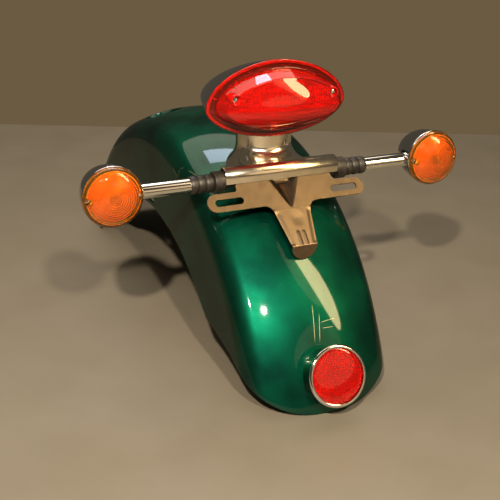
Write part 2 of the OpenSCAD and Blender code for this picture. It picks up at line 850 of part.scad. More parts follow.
housing_screw_x = 20;
housing_screw_y = neck_y + 6;
housing_screw_r = 2.5;
module housing_screws() {
    floor_z = lens_z - lens_down + housing_form[3][1];
    color(zinc)
        at_seat() for (side = [-1, 1])
            translate([side * housing_screw_x, housing_screw_y, floor_z])
                slotted_screw(housing_screw_r, 2 * housing_screw_r, 14);
}

socket_r = 9;
socket_l = 22;
bulb_r = 9.5;
module tail_bulb_holder() {
    color(zinc)
        at_lens() translate([0, lens_gasket_t + housing_d, 0])
            rotate([90, 0, 0]) {
                translate([0, 0, -3]) cylinder(r = socket_r - fit_gap, h = 3 + housing_t, $fn = mid);
                translate([0, 0, housing_t])
                    difference() {
                        cylinder(r = socket_r + 2, h = socket_l, $fn = mid);
                        translate([0, 0, 4]) cylinder(r = bulb_cap_r + fit_gap, h = socket_l, $fn = mid);
                    }
            }
}
bulb_cap_r = 7.5;
// A bulb along Z: its cap from 0 to cap_l and its glass above
module bulb(cap_r, cap_l, glass_r, glass_l) {
    neck = 0.8;
    steps = 8;
    rotate_extrude($fn = mid)
        polygon(concat(
            [[0, 0], [cap_r, 0], [cap_r, cap_l], [neck * cap_r, cap_l]],
            [for (i = [1:steps])
                let (a = -35 + 125 * i / steps)
                    [glass_r * cos(a), cap_l + glass_l - glass_r + glass_r * sin(a)]],
            [[0, cap_l + glass_l]]
        ));
}
module tail_bulb() {
    color(glass_clear)
        at_lens() translate([0, lens_gasket_t + housing_d - housing_t - 4, 0])
            rotate([90, 0, 0]) bulb(bulb_cap_r, 17, bulb_r, 24);
}

module tail_lens_gasket() {
    color(black_rubber)
        at_lens() difference() {
            loft([lens_ring(1, 1, 0), lens_ring(1, 1, lens_gasket_t)]);
            loft([lens_ring(1 + 5, 1, -over), lens_ring(1 + 5, 1, lens_gasket_t + over)]);
        }
}

// Lens: flange, tapered side wall and domed face with a recess for each screw
flange_t = 3;
dome_steps = 5;
function dome_ring(inset, k, y_edge, rise) =
    lens_ring(inset, k, y_edge - rise * (1 - k * k));
function lens_rings(t) = [
    for (k = [0.04, 0.3, 0.5, 0.7, 0.85, 0.95])
        dome_ring(lens_flange + lens_taper + t, k, -flange_t - lens_side + t, lens_dome),
    lens_ring(lens_flange + lens_taper + t, 1, -flange_t - lens_side + t),
    lens_ring(lens_flange + t, 1, -flange_t)
];
module tail_lens() {
    recess_r = 2.6 * lens_screw_r;
    color(red_clear)
        at_lens() difference() {
            union() {
                difference() {
                    loft(concat(lens_rings(0), [
                        lens_ring(0, 1, -flange_t), lens_ring(0, 1, 0)
                    ]));
                    loft(concat(lens_rings(lens_t), [lens_ring(lens_flange + lens_t, 1, over)]));
                }
                intersection() {
                    lens_screw_places() cylinder(r = recess_r + lens_t, h = lens_side + lens_dome + flange_t,
                        $fn = mid);
                    loft(concat(lens_rings(0), [lens_ring(lens_flange, 1, 0)]));
                }
            }
            lens_screw_places() {
                translate([0, 0, -over])
                    cylinder(r = lens_screw_r + bolt_gap, h = 2 * lens_side, $fn = mid);
                translate([0, 0, lens_seat_h])
                    cylinder(r = recess_r, h = 2 * lens_side, $fn = mid);
            }
        }
}
// Height of the screw heads' seat above the flange's rear face
lens_seat_h = 20;
module tail_lens_screws() {
    color(chrome)
        at_lens() lens_screw_places()
            translate([0, 0, lens_seat_h])
                slotted_screw(lens_screw_r, 2.1 * lens_screw_r, lens_seat_h + lens_gasket_t + 12);
}

// Turn signals, each turned about its own axis: +Z is out of the lens
module at_signal(side) {
    at_seat() translate([side * signal_x, -bar_y - signal_front, signal_z])
        rotate([90 - signal_aim, 0, 0]) children();
}
signal_bead = 2.2;
rim_l = 9;
bullet_steps = 12;
function bullet(r, l, z0) = [
    for (i = [0:bullet_steps])
        let (a = 90 * i / bullet_steps)
            [r * pow(cos(a), 0.8), z0 - l * sin(a)]
];
signal_body_r = signal_r - signal_bead;
module signal_body(side) {
    outer = bullet(signal_body_r, signal_l - rim_l, -rim_l);
    inner = bullet(signal_body_r - signal_t, signal_l - rim_l - signal_t, -rim_l);
    color(chrome)
        difference() {
            at_signal(side) union() {
                rotate_extrude($fn = fine)
                    polygon(concat([[signal_body_r, -signal_bead]], outer, turned(inner),
                        [[signal_body_r - signal_t, -signal_bead]]));
                rotate_extrude($fn = fine)
                    difference() {
                        translate([signal_r - signal_bead, -signal_bead]) circle(r = signal_bead, $fn = 32);
                        translate([0, -signal_l]) square([signal_lens_r + fit_gap, 2 * signal_l]);
                    }
            }
            stem_run(side, stem_r + fit_gap, boot_x, signal_x);
        }
}
signal_lens_r = signal_body_r - signal_t;
module signal_body_left() {
    signal_body(-1);
}
module signal_body_right() {
    signal_body(1);
}

// A round bar along the stem's axis from x0 to x1
module stem_run(side, r, x0, x1) {
    at_seat() translate([side * x0, -bar_y, stem_z])
        rotate([0, side * 90, 0]) cylinder(r = r, h = x1 - x0, $fn = fine);
}

// The shelf inside each body that carries the bulb holder and takes the lens screws
shelf_z = -4;
holder_t = 2;
module signal_holder(side) {
    color(zinc)
        at_signal(side) difference() {
            union() {
                translate([0, 0, shelf_z - holder_t])
                    cylinder(r = signal_lens_r - fit_gap, h = holder_t, $fn = fine);
                translate([0, 0, shelf_z - 18]) cylinder(r = signal_cap_r + 2, h = 18, $fn = mid);
            }
            translate([0, 0, shelf_z - 16]) cylinder(r = signal_cap_r + fit_gap, h = 18, $fn = mid);
            for (s = [-1, 1])
                translate([s * signal_screw_x, 0, shelf_z - 2 * holder_t])
                    cylinder(r = signal_screw_r + fit_gap, h = 3 * holder_t, $fn = mid);
        }
}
signal_cap_r = 7.5;
signal_screw_r = 1.6;
module signal_holder_left() {
    signal_holder(-1);
}
module signal_holder_right() {
    signal_holder(1);
}

module signal_bulb(side) {
    color(glass_clear)
        at_signal(side) translate([0, 0, shelf_z - 16]) bulb(signal_cap_r, 15, 9, 16);
}
module signal_bulb_left() {
    signal_bulb(-1);
}
module signal_bulb_right() {
    signal_bulb(1);
}

signal_gasket_t = 2;
module signal_gasket(side) {
    color(black_rubber)
        at_signal(side) translate([0, 0, shelf_z])
            difference() {
                cylinder(r = signal_lens_r - fit_gap, h = signal_gasket_t, $fn = fine);
                translate([0, 0, -over]) cylinder(r = signal_lens_r - 6, h = 2 * holder_t + over, $fn = fine);
                for (s = [-1, 1])
                    translate([s * signal_screw_x, 0, -over])
                        cylinder(r = signal_screw_r + bolt_gap, h = 2 * holder_t + over, $fn = mid);
            }
}
module signal_gasket_left() {
    signal_gasket(-1);
}
module signal_gasket_right() {
    signal_gasket(1);
}

// Domed lens with a seat for each screw
signal_lens_t = 2.2;
signal_seat_z = 3.2;
function dome(r, h, z0) = [
    for (i = [0:bullet_steps])
        let (a = 90 * i / bullet_steps)
            [r * cos(a), z0 + h * sin(a)]
];
module signal_lens(side) {
    outer_r = signal_lens_r - fit_gap;
    foot_z = shelf_z + signal_gasket_t;
    screw_head_r = 2.1 * signal_screw_r;
    color(amber_clear)
        at_signal(side) difference() {
            union() {
                rotate_extrude($fn = fine)
                    polygon(concat(
                        [[outer_r, foot_z]], dome(outer_r, signal_dome, 0),
                        turned(dome(outer_r - signal_lens_t, signal_dome - signal_lens_t, 0)),
                        [[outer_r - signal_lens_t, foot_z]]
                    ));
                intersection() {
                    for (s = [-1, 1])
                        translate([s * signal_screw_x, 0, foot_z])
                            cylinder(r = screw_head_r + 1.4, h = signal_dome, $fn = mid);
                    rotate_extrude($fn = fine)
                        polygon(concat([[0, foot_z], [outer_r, foot_z]],
                            dome(outer_r, signal_dome, 0)));
                }
            }
            for (s = [-1, 1])
                translate([s * signal_screw_x, 0, 0]) {
                    translate([0, 0, foot_z - over])
                        cylinder(r = signal_screw_r + bolt_gap, h = signal_dome, $fn = mid);
                    translate([0, 0, signal_seat_z])
                        cylinder(r = screw_head_r + bolt_gap, h = signal_dome, $fn = mid);
                }
        }
}
module signal_lens_left() {
    signal_lens(-1);
}
module signal_lens_right() {
    signal_lens(1);
}
module signal_lens_screws() {
    color(chrome)
        for (side = [-1, 1])
            at_signal(side) for (s = [-1, 1])
                translate([s * signal_screw_x, 0, signal_seat_z])
                    slotted_screw(signal_screw_r, 2.1 * signal_screw_r, signal_seat_z - shelf_z + holder_t + 1);
}

// Chromed stem tubes, let into the bodies and into the rubber
stem_t = 1.5;
boot_grip = 9;
module stem_tube(side) {
    x1 = signal_x - signal_body_r + signal_t;
    color(chrome)
        difference() {
            stem_run(side, stem_r, boot_x - boot_grip, x1);
            stem_run(side, stem_r - stem_t, boot_x - boot_grip - over, x1 + over);
        }
}
module stem_tube_left() {
    stem_tube(-1);
}
module stem_tube_right() {
    stem_tube(1);
}

// Rubber boot: three rings, a collar against the cover and a core under it
boot_rings = 3;
boot_ring_h = 1.2;
boot_core_x = rib_x + rib_t;
module stem_boot(side) {
    boot_r = stem_r + 1;
    x_cover = bar_l / 2;
    ring_l = (boot_x - x_cover - collar_l) / boot_rings;
    profile = concat(
        [[0, boot_core_x], [stem_r, boot_core_x], [stem_r, x_cover], [collar_r - 1, x_cover],
            [collar_r, x_cover + 1], [collar_r, x_cover + collar_l - 2],
            [collar_r - 2, x_cover + collar_l]],
        [for (k = [0:boot_rings - 1], i = [0:6])
            [boot_r + boot_ring_h * sin(30 * i),
                x_cover + collar_l + ring_l * (k + i / 6 * 0.94 + 0.03)]],
        [[stem_r - over, boot_x], [0, boot_x]]
    );
    color(black_rubber)
        difference() {
            at_seat() translate([0, -bar_y, stem_z])
                rotate([0, side * 90, 0]) rotate_extrude($fn = fine) polygon(profile);
            stem_run(side, stem_r, boot_x - boot_grip, boot_x + over);
            stem_run(side, stud_r, boot_core_x - over, boot_core_x + stud_in);
        }
}
module stem_boot_left() {
    stem_boot(-1);
}
module stem_boot_right() {
    stem_boot(1);
}

// Threaded studs bonded into the rubber, with washers and nuts behind the ribs
stud_in = 30;
nut_h = 6;
module stem_studs() {
    color(zinc)
        for (side = [-1, 1])
            stem_run(side, stud_r, rib_x - washer_t - nut_h - 4, boot_core_x + stud_in);
}
module stem_washers() {
    color(zinc)
        for (side = [-1, 1])
            at_seat() translate([side * (rib_x - washer_t), -bar_y, stem_z])
                rotate([0, side * 90, 0]) tube(1.9 * stud_r, stud_r + bolt_gap, washer_t);
}
module stem_nuts() {
    color(zinc)
        for (side = [-1, 1])
            at_seat() translate([side * (rib_x - washer_t - nut_h), -bar_y, stem_z])
                rotate([0, side * 90, 0]) hex_nut(stud_r, nut_h);
}

// Round reflector: a chromed cup on the crown with a red lens in its beaded ring
reflex_t = 1.5;
reflex_lens_r = bead_ring_r - reflex_bead / 2;
module reflex_cup() {
    color(chrome)
        difference() {
            on_skin(0, reflex_angle) union() {
                rotate_extrude($fn = fine)
                    polygon([
                        [0, -over], [reflex_foot_r, -2 * over], [reflex_foot_r + 1, 5],
                        [bead_ring_r, bead_out], [bead_ring_r - reflex_t, bead_out],
                        [reflex_foot_r - reflex_t, 5], [reflex_stud_r + 8, 5], [0, 5]
                    ]);
                rotate_extrude($fn = fine)
                    translate([bead_ring_r, bead_out]) circle(r = reflex_bead, $fn = 32);
            }
            under_skin(0);
            on_skin(0, reflex_angle) translate([0, 0, bead_out - reflex_seat])
                cylinder(r = reflex_lens_r + fit_gap, h = reflex_depth, $fn = fine);
            on_skin(0, reflex_angle)
                cylinder(r = reflex_stud_r + fit_gap, h = 3 * hole_reach, center = true, $fn = mid);
        }
}
reflex_seat = 3;
reflex_crown = 3;
module reflex_lens() {
    color(red_clear)
        on_skin(0, reflex_angle) union() {
            translate([0, 0, bead_out - reflex_seat])
                rotate_extrude($fn = fine)
                    polygon(concat([[0, 0], [reflex_lens_r, 0]],
                        [for (a = [0:15:90])
                            [reflex_lens_r * cos(a), reflex_seat + reflex_crown * sin(a)]]));
            translate([0, 0, -reflex_stud_l])
                cylinder(r = reflex_stud_r, h = reflex_stud_l + bead_out - reflex_seat + weld, $fn = mid);
        }
}
reflex_stud_l = 12;
module reflex_washer() {
    color(zinc)
        on_skin(0, reflex_angle) translate([0, 0, -skin_t - washer_gap - washer_t])
            tube(2.5 * reflex_stud_r, reflex_stud_r + bolt_gap, washer_t);
}
module reflex_nut() {
    color(zinc)
        on_skin(0, reflex_angle) translate([0, 0, -skin_t - washer_gap - washer_t - 5])
            hex_nut(reflex_stud_r, 5);
}

fender();
pedestal();
pedestal_gasket();
pedestal_bolts();
pedestal_washers();
plate_bracket();
bracket_bolts();
tail_housing();
housing_screws();
tail_bulb_holder();
tail_bulb();
tail_lens_gasket();
tail_lens();
tail_lens_screws();
signal_body_left();
signal_body_right();
signal_holder_left();
signal_holder_right();
signal_bulb_left();
signal_bulb_right();
signal_gasket_left();
signal_gasket_right();
signal_lens_left();
signal_lens_right();
signal_lens_screws();
stem_tube_left();
stem_tube_right();
stem_boot_left();
stem_boot_right();
stem_studs();
stem_washers();
stem_nuts();
reflex_cup();
reflex_lens();
reflex_washer();
reflex_nut();
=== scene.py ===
"""Rear fender of a motorcycle with its lamp group.

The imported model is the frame; every class below is one sub-assembly, holds its sizes in
millimetres and makes its surfaces as numpy grids in the same place as its solids.
"""

from __future__ import annotations

import logging
import math
from dataclasses import dataclass, field, replace
from enum import Enum

import bmesh
import bpy
import numpy as np
from mathutils import Matrix, Vector


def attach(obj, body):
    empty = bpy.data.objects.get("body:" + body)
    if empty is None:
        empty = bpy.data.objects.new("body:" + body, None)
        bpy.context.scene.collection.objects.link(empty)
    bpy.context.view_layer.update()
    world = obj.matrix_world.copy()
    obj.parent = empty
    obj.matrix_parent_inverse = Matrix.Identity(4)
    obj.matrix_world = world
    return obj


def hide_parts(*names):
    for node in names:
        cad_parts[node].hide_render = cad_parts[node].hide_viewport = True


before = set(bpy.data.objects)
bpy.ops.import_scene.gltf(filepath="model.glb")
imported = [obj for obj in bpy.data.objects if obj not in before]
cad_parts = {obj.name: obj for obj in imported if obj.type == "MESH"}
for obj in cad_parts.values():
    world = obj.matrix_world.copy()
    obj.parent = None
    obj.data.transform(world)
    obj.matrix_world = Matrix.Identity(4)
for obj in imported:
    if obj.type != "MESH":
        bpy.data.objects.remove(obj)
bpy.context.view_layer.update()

LOG = logging.getLogger("rear_fender")
MM = 0.001
Array = np.ndarray
Colour = tuple[float, float, float, float]
Point = tuple[float, float, float]
Socket = bpy.types.NodeSocket


class Side(Enum):
    """The two sides of the fender, seen from behind it."""

    LEFT = -1
    RIGHT = 1

    @property
    def word(self) -> str:
        """The side's name as the nodes spell it."""
        return self.name.lower()


def linear(hex_colour: str) -> Colour:
    """Turns an sRGB hex colour into linear RGBA.

    Args:
        hex_colour: Colour such as "#1f6b45".

    Returns:
        Linear red, green and blue with an alpha of one.
    """
    parts = [int(hex_colour[i : i + 2], 16) / 255 for i in (1, 3, 5)]
    out = [c / 12.92 if c <= 0.04045 else ((c + 0.055) / 1.055) ** 2.4 for c in parts]
    return (out[0], out[1], out[2], 1.0)


def add_node(
    tree: bpy.types.NodeTree,
    kind: str,
    settings: dict[str, object] | None = None,
    values: dict[str | int, object] | None = None,
    links: dict[str | int, Socket] | None = None,
) -> bpy.types.Node:
    """Adds one node with its settings, input values and incoming links.

    Args:
        tree: Node tree that takes the node.
        kind: Type of the node.
        settings: Properties of the node by name.
        values: Input values by name or index.
        links: Sockets to join to inputs, by name or index.

    Returns:
        The new node.
    """
    node = tree.nodes.new(kind)
    for key, value in (settings or {}).items():
        setattr(node, key, value)
    for key, value in (values or {}).items():
        node.inputs[key].default_value = value
    for key, socket in (links or {}).items():
        tree.links.new(socket, node.inputs[key])
    return node


def smooth_step(x: Array) -> Array:
    """Cubic step from 0 at x <= 0 to 1 at x >= 1: 3x^2 - 2x^3 between them."""
    t = np.clip(x, 0.0, 1.0)
    return t * t * (3.0 - 2.0 * t)


@dataclass
class Surface:
    """Points and faces of a piece in millimetres, gathered patch by patch."""

    points: list[Array] = field(default_factory=list)
    faces: list[Array] = field(default_factory=list)
    count: int = 0

    def patch(self, grid: Array, closed: bool = False, inward: bool = False) -> None:
        """Adds a grid of points as a patch, whose point (i, j) is number i * columns + j.

        Args:
            grid: Points as a (rows, columns, 3) array.
            closed: Whether each row is a ring.
            inward: Whether the faces are turned round.
        """
        rows, columns = grid.shape[:2]
        i = np.arange(rows - 1)[:, None] * columns
        j = np.arange(columns if closed else columns - 1)[None, :]
        k = (j + 1) % columns
        corners = [i + j, i + k, i + columns + k, i + columns + j]
        quads = np.stack(corners, axis=-1).reshape(-1, 4) + self.count
        self.faces.append(quads[:, ::-1] if inward else quads)
        self.points.append(grid.reshape(-1, 3))
        self.count += rows * columns

    def add(self, other: "Surface") -> None:
        """Adds the patches of another body.

        Args:
            other: The body.
        """
        self.points += other.points
        self.faces += [faces + self.count for faces in other.faces]
        self.count += other.count

    def piece(self, name: str, finish: "Finish", sharp: float = 40.0) -> bpy.types.Object:
        """Makes the Blender object, which rides on the root body.

        Doubles are merged and the faces turned outwards.

        Args:
            name: Name of the piece.
            finish: Finish that dresses it.
            sharp: Angle in degrees past which an edge stays sharp.

        Returns:
            The object.
        """
        points = np.concatenate(self.points) * MM
        quads = np.concatenate(self.faces)
        mesh = bpy.data.meshes.new(name)
        mesh.vertices.add(len(points))
        mesh.vertices.foreach_set("co", points.ravel())
        mesh.loops.add(quads.size)
        mesh.loops.foreach_set("vertex_index", quads.ravel())
        mesh.polygons.add(len(quads))
        mesh.polygons.foreach_set("loop_start", np.arange(0, quads.size, 4))
        mesh.update(calc_edges=True)
        mesh.validate()
        tidy_mesh(mesh)
        mesh.shade_smooth()
        mesh.set_sharp_from_angle(angle=math.radians(sharp))
        mesh.materials.append(finish.material())
        piece = bpy.data.objects.new(name.replace(" ", "_"), mesh)
        bpy.context.scene.collection.objects.link(piece)
        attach(piece, "root")
        return piece


def tidy_mesh(mesh: bpy.types.Mesh, gap: float = 2e-6) -> None:
    """Merges doubles, drops what has no area and turns the faces outwards.

    Args:
        mesh: Mesh to tidy.
        gap: Distance in metres under which points are one.
    """
    work = bmesh.new()
    work.from_mesh(mesh)
    bmesh.ops.remove_doubles(work, verts=work.verts, dist=gap)
    bmesh.ops.dissolve_degenerate(work, edges=work.edges, dist=gap / 2)
    bmesh.ops.recalc_face_normals(work, faces=work.faces)
    work.to_mesh(mesh)
    work.free()
    mesh.update()


def dress(finish: "Finish", *nodes: str) -> None:
    """Gives nodes of the frame their finish.

    Args:
        finish: Finish that dresses them.
        nodes: Names of the nodes, which keep the meshes of their solids.
    """
    for node in nodes:
        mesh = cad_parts[node].data
        mesh.materials.clear()
        mesh.materials.append(finish.material())


def arc(centre: tuple[float, float], r: float, start: float, end: float, n: int) -> Array:
    """Points of a circular arc, as (n, 2): centre + r (cos a, sin a) in degrees."""
    a = np.radians(np.linspace(start, end, n))
    return np.stack([centre[0] + r * np.cos(a), centre[1] + r * np.sin(a)], axis=-1)


@dataclass(frozen=True)
class Place:
    """A place in the frame: its origin and the directions of its own axes."""

    origin: Point
    x: Point
    y: Point
    z: Point

    def put(self, grid: Array) -> Array:
        """Carries points given in this place into the frame: o + x X + y Y + z Z."""
        axes = np.array([self.x, self.y, self.z])
        return np.asarray(self.origin) + grid @ axes


def ringed(place: Place, rings: Array) -> Surface:
    """A closed body of rings.

    Args:
        place: Place in which the rings are given.
        rings: Points as a (rings, around, 3) array.

    Returns:
        The body.
    """
    body = Surface()
    body.patch(place.put(rings), closed=True)
    return body


def turned(place: Place, profile: Array, segments: int) -> Surface:
    """A closed body: a profile turned about the Z of its place.

    The grid's point is (r cos a, r sin a, h) for every profile point and angle a.

    Args:
        place: Place whose Z is the axis.
        profile: Rows of [radius, height].
        segments: Number of steps round the axis.

    Returns:
        The body.
    """
    a = np.linspace(0.0, 2 * math.pi, segments, endpoint=False)
    r = profile[:, :1]
    h = np.repeat(profile[:, 1:], segments, axis=1)
    return ringed(place, np.stack([r * np.cos(a), r * np.sin(a), h], axis=-1))


def slab(place: Place, front: Array, back: Array) -> Surface:
    """A closed sheet between two grids, with a rim that joins their borders.

    Args:
        place: Place in which the grids are given.
        front: Points of the outer face as a (rows, columns, 3) array.
        back: Points of the inner face, as many.

    Returns:
        The body.
    """
    body = Surface()
    body.patch(place.put(front))
    body.patch(place.put(back), inward=True)
    body.patch(place.put(np.array([perimeter(front), perimeter(back)])), closed=True)
    return body


@dataclass(frozen=True)
class Shading:
    """A material's nodes: its tree, the shader at the end and the coordinates in metres."""

    tree: bpy.types.NodeTree
    shader: bpy.types.Node
    where: Socket

    def noise(self, size_mm: float, detail: float = 3.0) -> Socket:
        """Noise with blotches of about size_mm.

        Args:
            size_mm: Size of a blotch.
            detail: Octaves of detail.

        Returns:
            The noise's factor.
        """
        values = {"Scale": 1.0 / (size_mm * MM), "Detail": detail}
        node = add_node(self.tree, "ShaderNodeTexNoise", None, values, {"Vector": self.where})
        return node.outputs["Fac"]

    def ramp(
        self, factor: Socket, low: float, high: float, out_low: float = 0.0, out_high: float = 1.0
    ) -> Socket:
        """Maps a factor from low..high to out_low..out_high, clamped."""
        values = {1: low, 2: high, 3: out_low, 4: out_high}
        return add_node(self.tree, "ShaderNodeMapRange", None, values, {0: factor}).outputs[0]

    def blend(self, factor: Socket, first: Colour | Socket, second: Colour | Socket) -> Socket:
        """Mixes two colours by a factor.

        Args:
            factor: 0 for the first colour, 1 for the second.
            first: A colour, or a socket that gives one.
            second: The other.

        Returns:
            The mixed colour.
        """
        colours = {6: first, 7: second}
        values = {key: colour for key, colour in colours.items() if isinstance(colour, tuple)}
        links = {key: colour for key, colour in colours.items() if key not in values}
        mix = {"data_type": "RGBA"}
        node = add_node(self.tree, "ShaderNodeMix", mix, values, {0: factor, **links})
        return node.outputs[2]

    def bump(self, height: Socket, depth_mm: float, strength: float = 1.0) -> Socket:
        """A bumped normal from a height from 0 to 1, whose full range is depth_mm."""
        values = {"Strength": strength, "Distance": depth_mm * MM}
        return add_node(self.tree, "ShaderNodeBump", None, values, {"Height": height}).outputs[0]

    def combine(self, operation: str, *inputs: Socket) -> Socket:
        """The result of an operation on one or two numbers."""
        kind, links = {"operation": operation}, dict(enumerate(inputs))
        return add_node(self.tree, "ShaderNodeMath", kind, links=links).outputs[0]

    def vector(self, operation: str, first: Socket, second: Array) -> bpy.types.Node:
        """A node with the result of an operation on a vector and a fixed one."""
        kind = {"operation": operation}
        return add_node(self.tree, "ShaderNodeVectorMath", kind, {1: tuple(second)}, {0: first})

    def set(self, inputs: dict[str, object]) -> None:
        """Sets inputs of the shader, each to a value or from a socket.

        Args:
            inputs: Values and sockets by the input's name.
        """
        for key, value in inputs.items():
            if isinstance(value, Socket):
                self.tree.links.new(value, self.shader.inputs[key])
            else:
                self.shader.inputs[key].default_value = value


@dataclass(frozen=True)
class Finish:
    """What a finish shares with every other: its title and the record's slot."""

    title: str
    slot: str

    def material(self) -> bpy.types.Material:
        """The finish's material, made once.

        Returns:
            The material.
        """
        found = bpy.data.materials.get(self.title)
        if found is not None:
            return found
        made = bpy.data.materials.new(self.title)
        made.use_nodes = True
        tree = made.node_tree
        where = add_node(tree, "ShaderNodeTexCoord").outputs["Object"]
        self.lay(Shading(tree, tree.nodes["Principled BSDF"], where))
        return made

    def lay(self, nodes: Shading) -> None:
        """Lays the finish's nodes, which end at the shader."""
        raise NotImplementedError


@dataclass(frozen=True)
class MetallicPaint(Finish):
    """Two-coat metallic car paint on pressed steel.

    Fine aluminium flakes in a dark green base give it a soft sheen, and a clear coat on top
    gives the sharp reflections. Handling has left a few pale scratches, each given by the
    length and angle on the skin at which it starts and ends.
    """

    base: str = "#044a36"
    deep: str = "#033125"
    flake: str = "#0f8f68"
    edge: str = "#1c6a50"
    flake_mm: float = 0.9
    flake_share: float = 0.13
    metallic: float = 0.88
    coat: float = 0.6
    scuff: str = "#a8a684"
    strokes: tuple[tuple[float, float, float, float], ...] = (
        (-104.0, 78.4, -106.0, 74.5), (-105.0, 74.4, -95.0, 75.0), (-95.0, 75.0, -90.0, 74.2),
        (-87.0, 72.6, -81.0, 69.6), (-4.0, 36.0, -10.0, 28.8), (2.0, 34.2, -4.0, 28.8),
        (1.0, 32.4, 21.0, 32.7), (2.0, 31.3, 18.0, 31.2),
    )
    stroke_mm: float = 0.45

    def lay(self, nodes: Shading) -> None:
        """Flakes tilt the base coat's normal; the clear coat stays smooth.

        Args:
            nodes: Nodes of the material.
        """
        tone = nodes.ramp(nodes.noise(60.0, 2.0), 0.35, 0.65)
        colour = nodes.blend(tone, linear(self.deep), linear(self.base))
        # Real flakes are 0.02 mm; drawn at about a millimetre so that they show
        scale = {"Scale": 1.0 / (self.flake_mm * MM)}
        cells = add_node(nodes.tree, "ShaderNodeTexVoronoi", None, scale, {"Vector": nodes.where})
        spark = nodes.ramp(cells.outputs["Color"], 0.8, 1.0, 0.0, self.flake_share)
        colour = nodes.blend(spark, colour, linear(self.flake))
        nodes.set({
            "Base Color": nodes.blend(self.scuffs(nodes), colour, linear(self.scuff)),
            "Metallic": self.metallic,
            "Normal": nodes.bump(nodes.noise(0.9, 1.0), 0.02, 0.35),
            "Roughness": nodes.ramp(nodes.noise(25.0), 0.3, 0.7, 0.4, 0.5),
            "Specular Tint": linear(self.edge),
            "Coat Weight": self.coat,
            "Coat Roughness": 0.05,
            "Coat IOR": 1.5,
        })

    def scuffs(self, nodes: Shading) -> Socket:
        """The photographed scratches, each a straight stroke between two places on the skin.

        Args:
            nodes: Nodes of the material.

        Returns:
            A mask that is 1 in a scratch.
        """
        mask = None
        for s0, t0, s1, t1 in self.strokes:
            middle = SKIN.place((s0 + s1) / 2, (t0 + t1) / 2)
            ends = [np.array(SKIN.place(s, t).origin) for s, t in ((s0, t0), (s1, t1))]
            along = ends[1] - ends[0]
            half = float(np.linalg.norm(along)) / 2
            along = along / (2 * half)
            side = np.cross(np.array(middle.z), along)
            offset = nodes.vector("SUBTRACT", nodes.where, (ends[0] + ends[1]) / 2 * MM).outputs[0]
            near = []
            for way, reach, fade in ((along, half, half * 0.4), (side, self.stroke_mm, 0.35)):
                dot = nodes.vector("DOT_PRODUCT", offset, way / MM).outputs["Value"]
                far = nodes.combine("ABSOLUTE", dot)
                near.append(nodes.ramp(far, reach - fade, reach, 1.0, 0.0))
            stroke = nodes.combine("MULTIPLY", *near)
            mask = stroke if mask is None else nodes.combine("MAXIMUM", mask, stroke)
        return mask


@dataclass(frozen=True)
class BrightMetal(Finish):
    """A bright metal: its colour, its roughness and how cloudy it is.

    Polished castings, chrome plate, zinc and pressed stainless differ only in these numbers:
    chrome mirrors sharply, the casting softly, and zinc and pressed sheet only as a sheen.
    """

    colour: str = "#d6d3cb"
    stain: str = "#8f8672"
    low: float = 0.05
    high: float = 0.12
    cloud_mm: float = 18.0
    stain_share: float = 0.2

    def lay(self, nodes: Shading) -> None:
        """Noise clouds the colour and the roughness.

        Args:
            nodes: Nodes of the material.
        """
        share = nodes.ramp(nodes.noise(self.cloud_mm, 2.0), 0.45, 0.75, 0.0, self.stain_share)
        nodes.set({
            "Base Color": nodes.blend(share, linear(self.colour), linear(self.stain)),
            "Metallic": 1.0,
            "Roughness": nodes.ramp(nodes.noise(self.cloud_mm, 1.0), 0.3, 0.7, self.low, self.high),
        })


@dataclass(frozen=True)
class MouldedRubber(Finish):
    """Moulded black rubber: dull, with pale dust in blotches."""

    colour: str = "#17120d"
    dust: str = "#4a3c28"

    def lay(self, nodes: Shading) -> None:
        """A fine pebbled skin with a dusty cloud over it.

        Args:
            nodes: Nodes of the material.
        """
        share = nodes.ramp(nodes.noise(7.0), 0.5, 0.8, 0.0, 0.6)
        nodes.set({
            "Base Color": nodes.blend(share, linear(self.colour), linear(self.dust)),
            "Roughness": 0.5,
            "Normal": nodes.bump(nodes.noise(0.8), 0.05),
        })


@dataclass(frozen=True)
class TintedAcrylic(Finish):
    """Injection-moulded tinted acrylic, which lights up from what is behind it.

    Part of the light goes through, and the rest comes back from inside the tinted wall, so
    the colour stays full where little light comes from behind.
    """

    colour: str = "#e01408"
    through: float = 0.5
    roughness: float = 0.06

    def lay(self, nodes: Shading) -> None:
        """A clear gloss over a tinted, partly open body.

        Args:
            nodes: Nodes of the material.
        """
        base = linear(self.colour)
        dark = (base[0] * 0.9, base[1] * 0.85, base[2] * 0.85, 1.0)
        nodes.set({
            "Base Color": nodes.blend(nodes.ramp(nodes.noise(40.0), 0.35, 0.65), dark, base),
            "Transmission Weight": self.through,
            "Roughness": self.roughness,
            "IOR": 1.49,
        })


@dataclass(frozen=True)
class BulbGlass(Finish):
    """Clear soda glass of a bulb."""

    def lay(self, nodes: Shading) -> None:
        """Plain clear glass with faint smoke.

        Args:
            nodes: Nodes of the material.
        """
        tone = nodes.ramp(nodes.noise(6.0), 0.4, 0.7)
        nodes.set({
            "Base Color": nodes.blend(tone, linear("#ffffff"), linear("#e8ded0")),
            "Transmission Weight": 0.9,
            "Roughness": 0.03,
        })


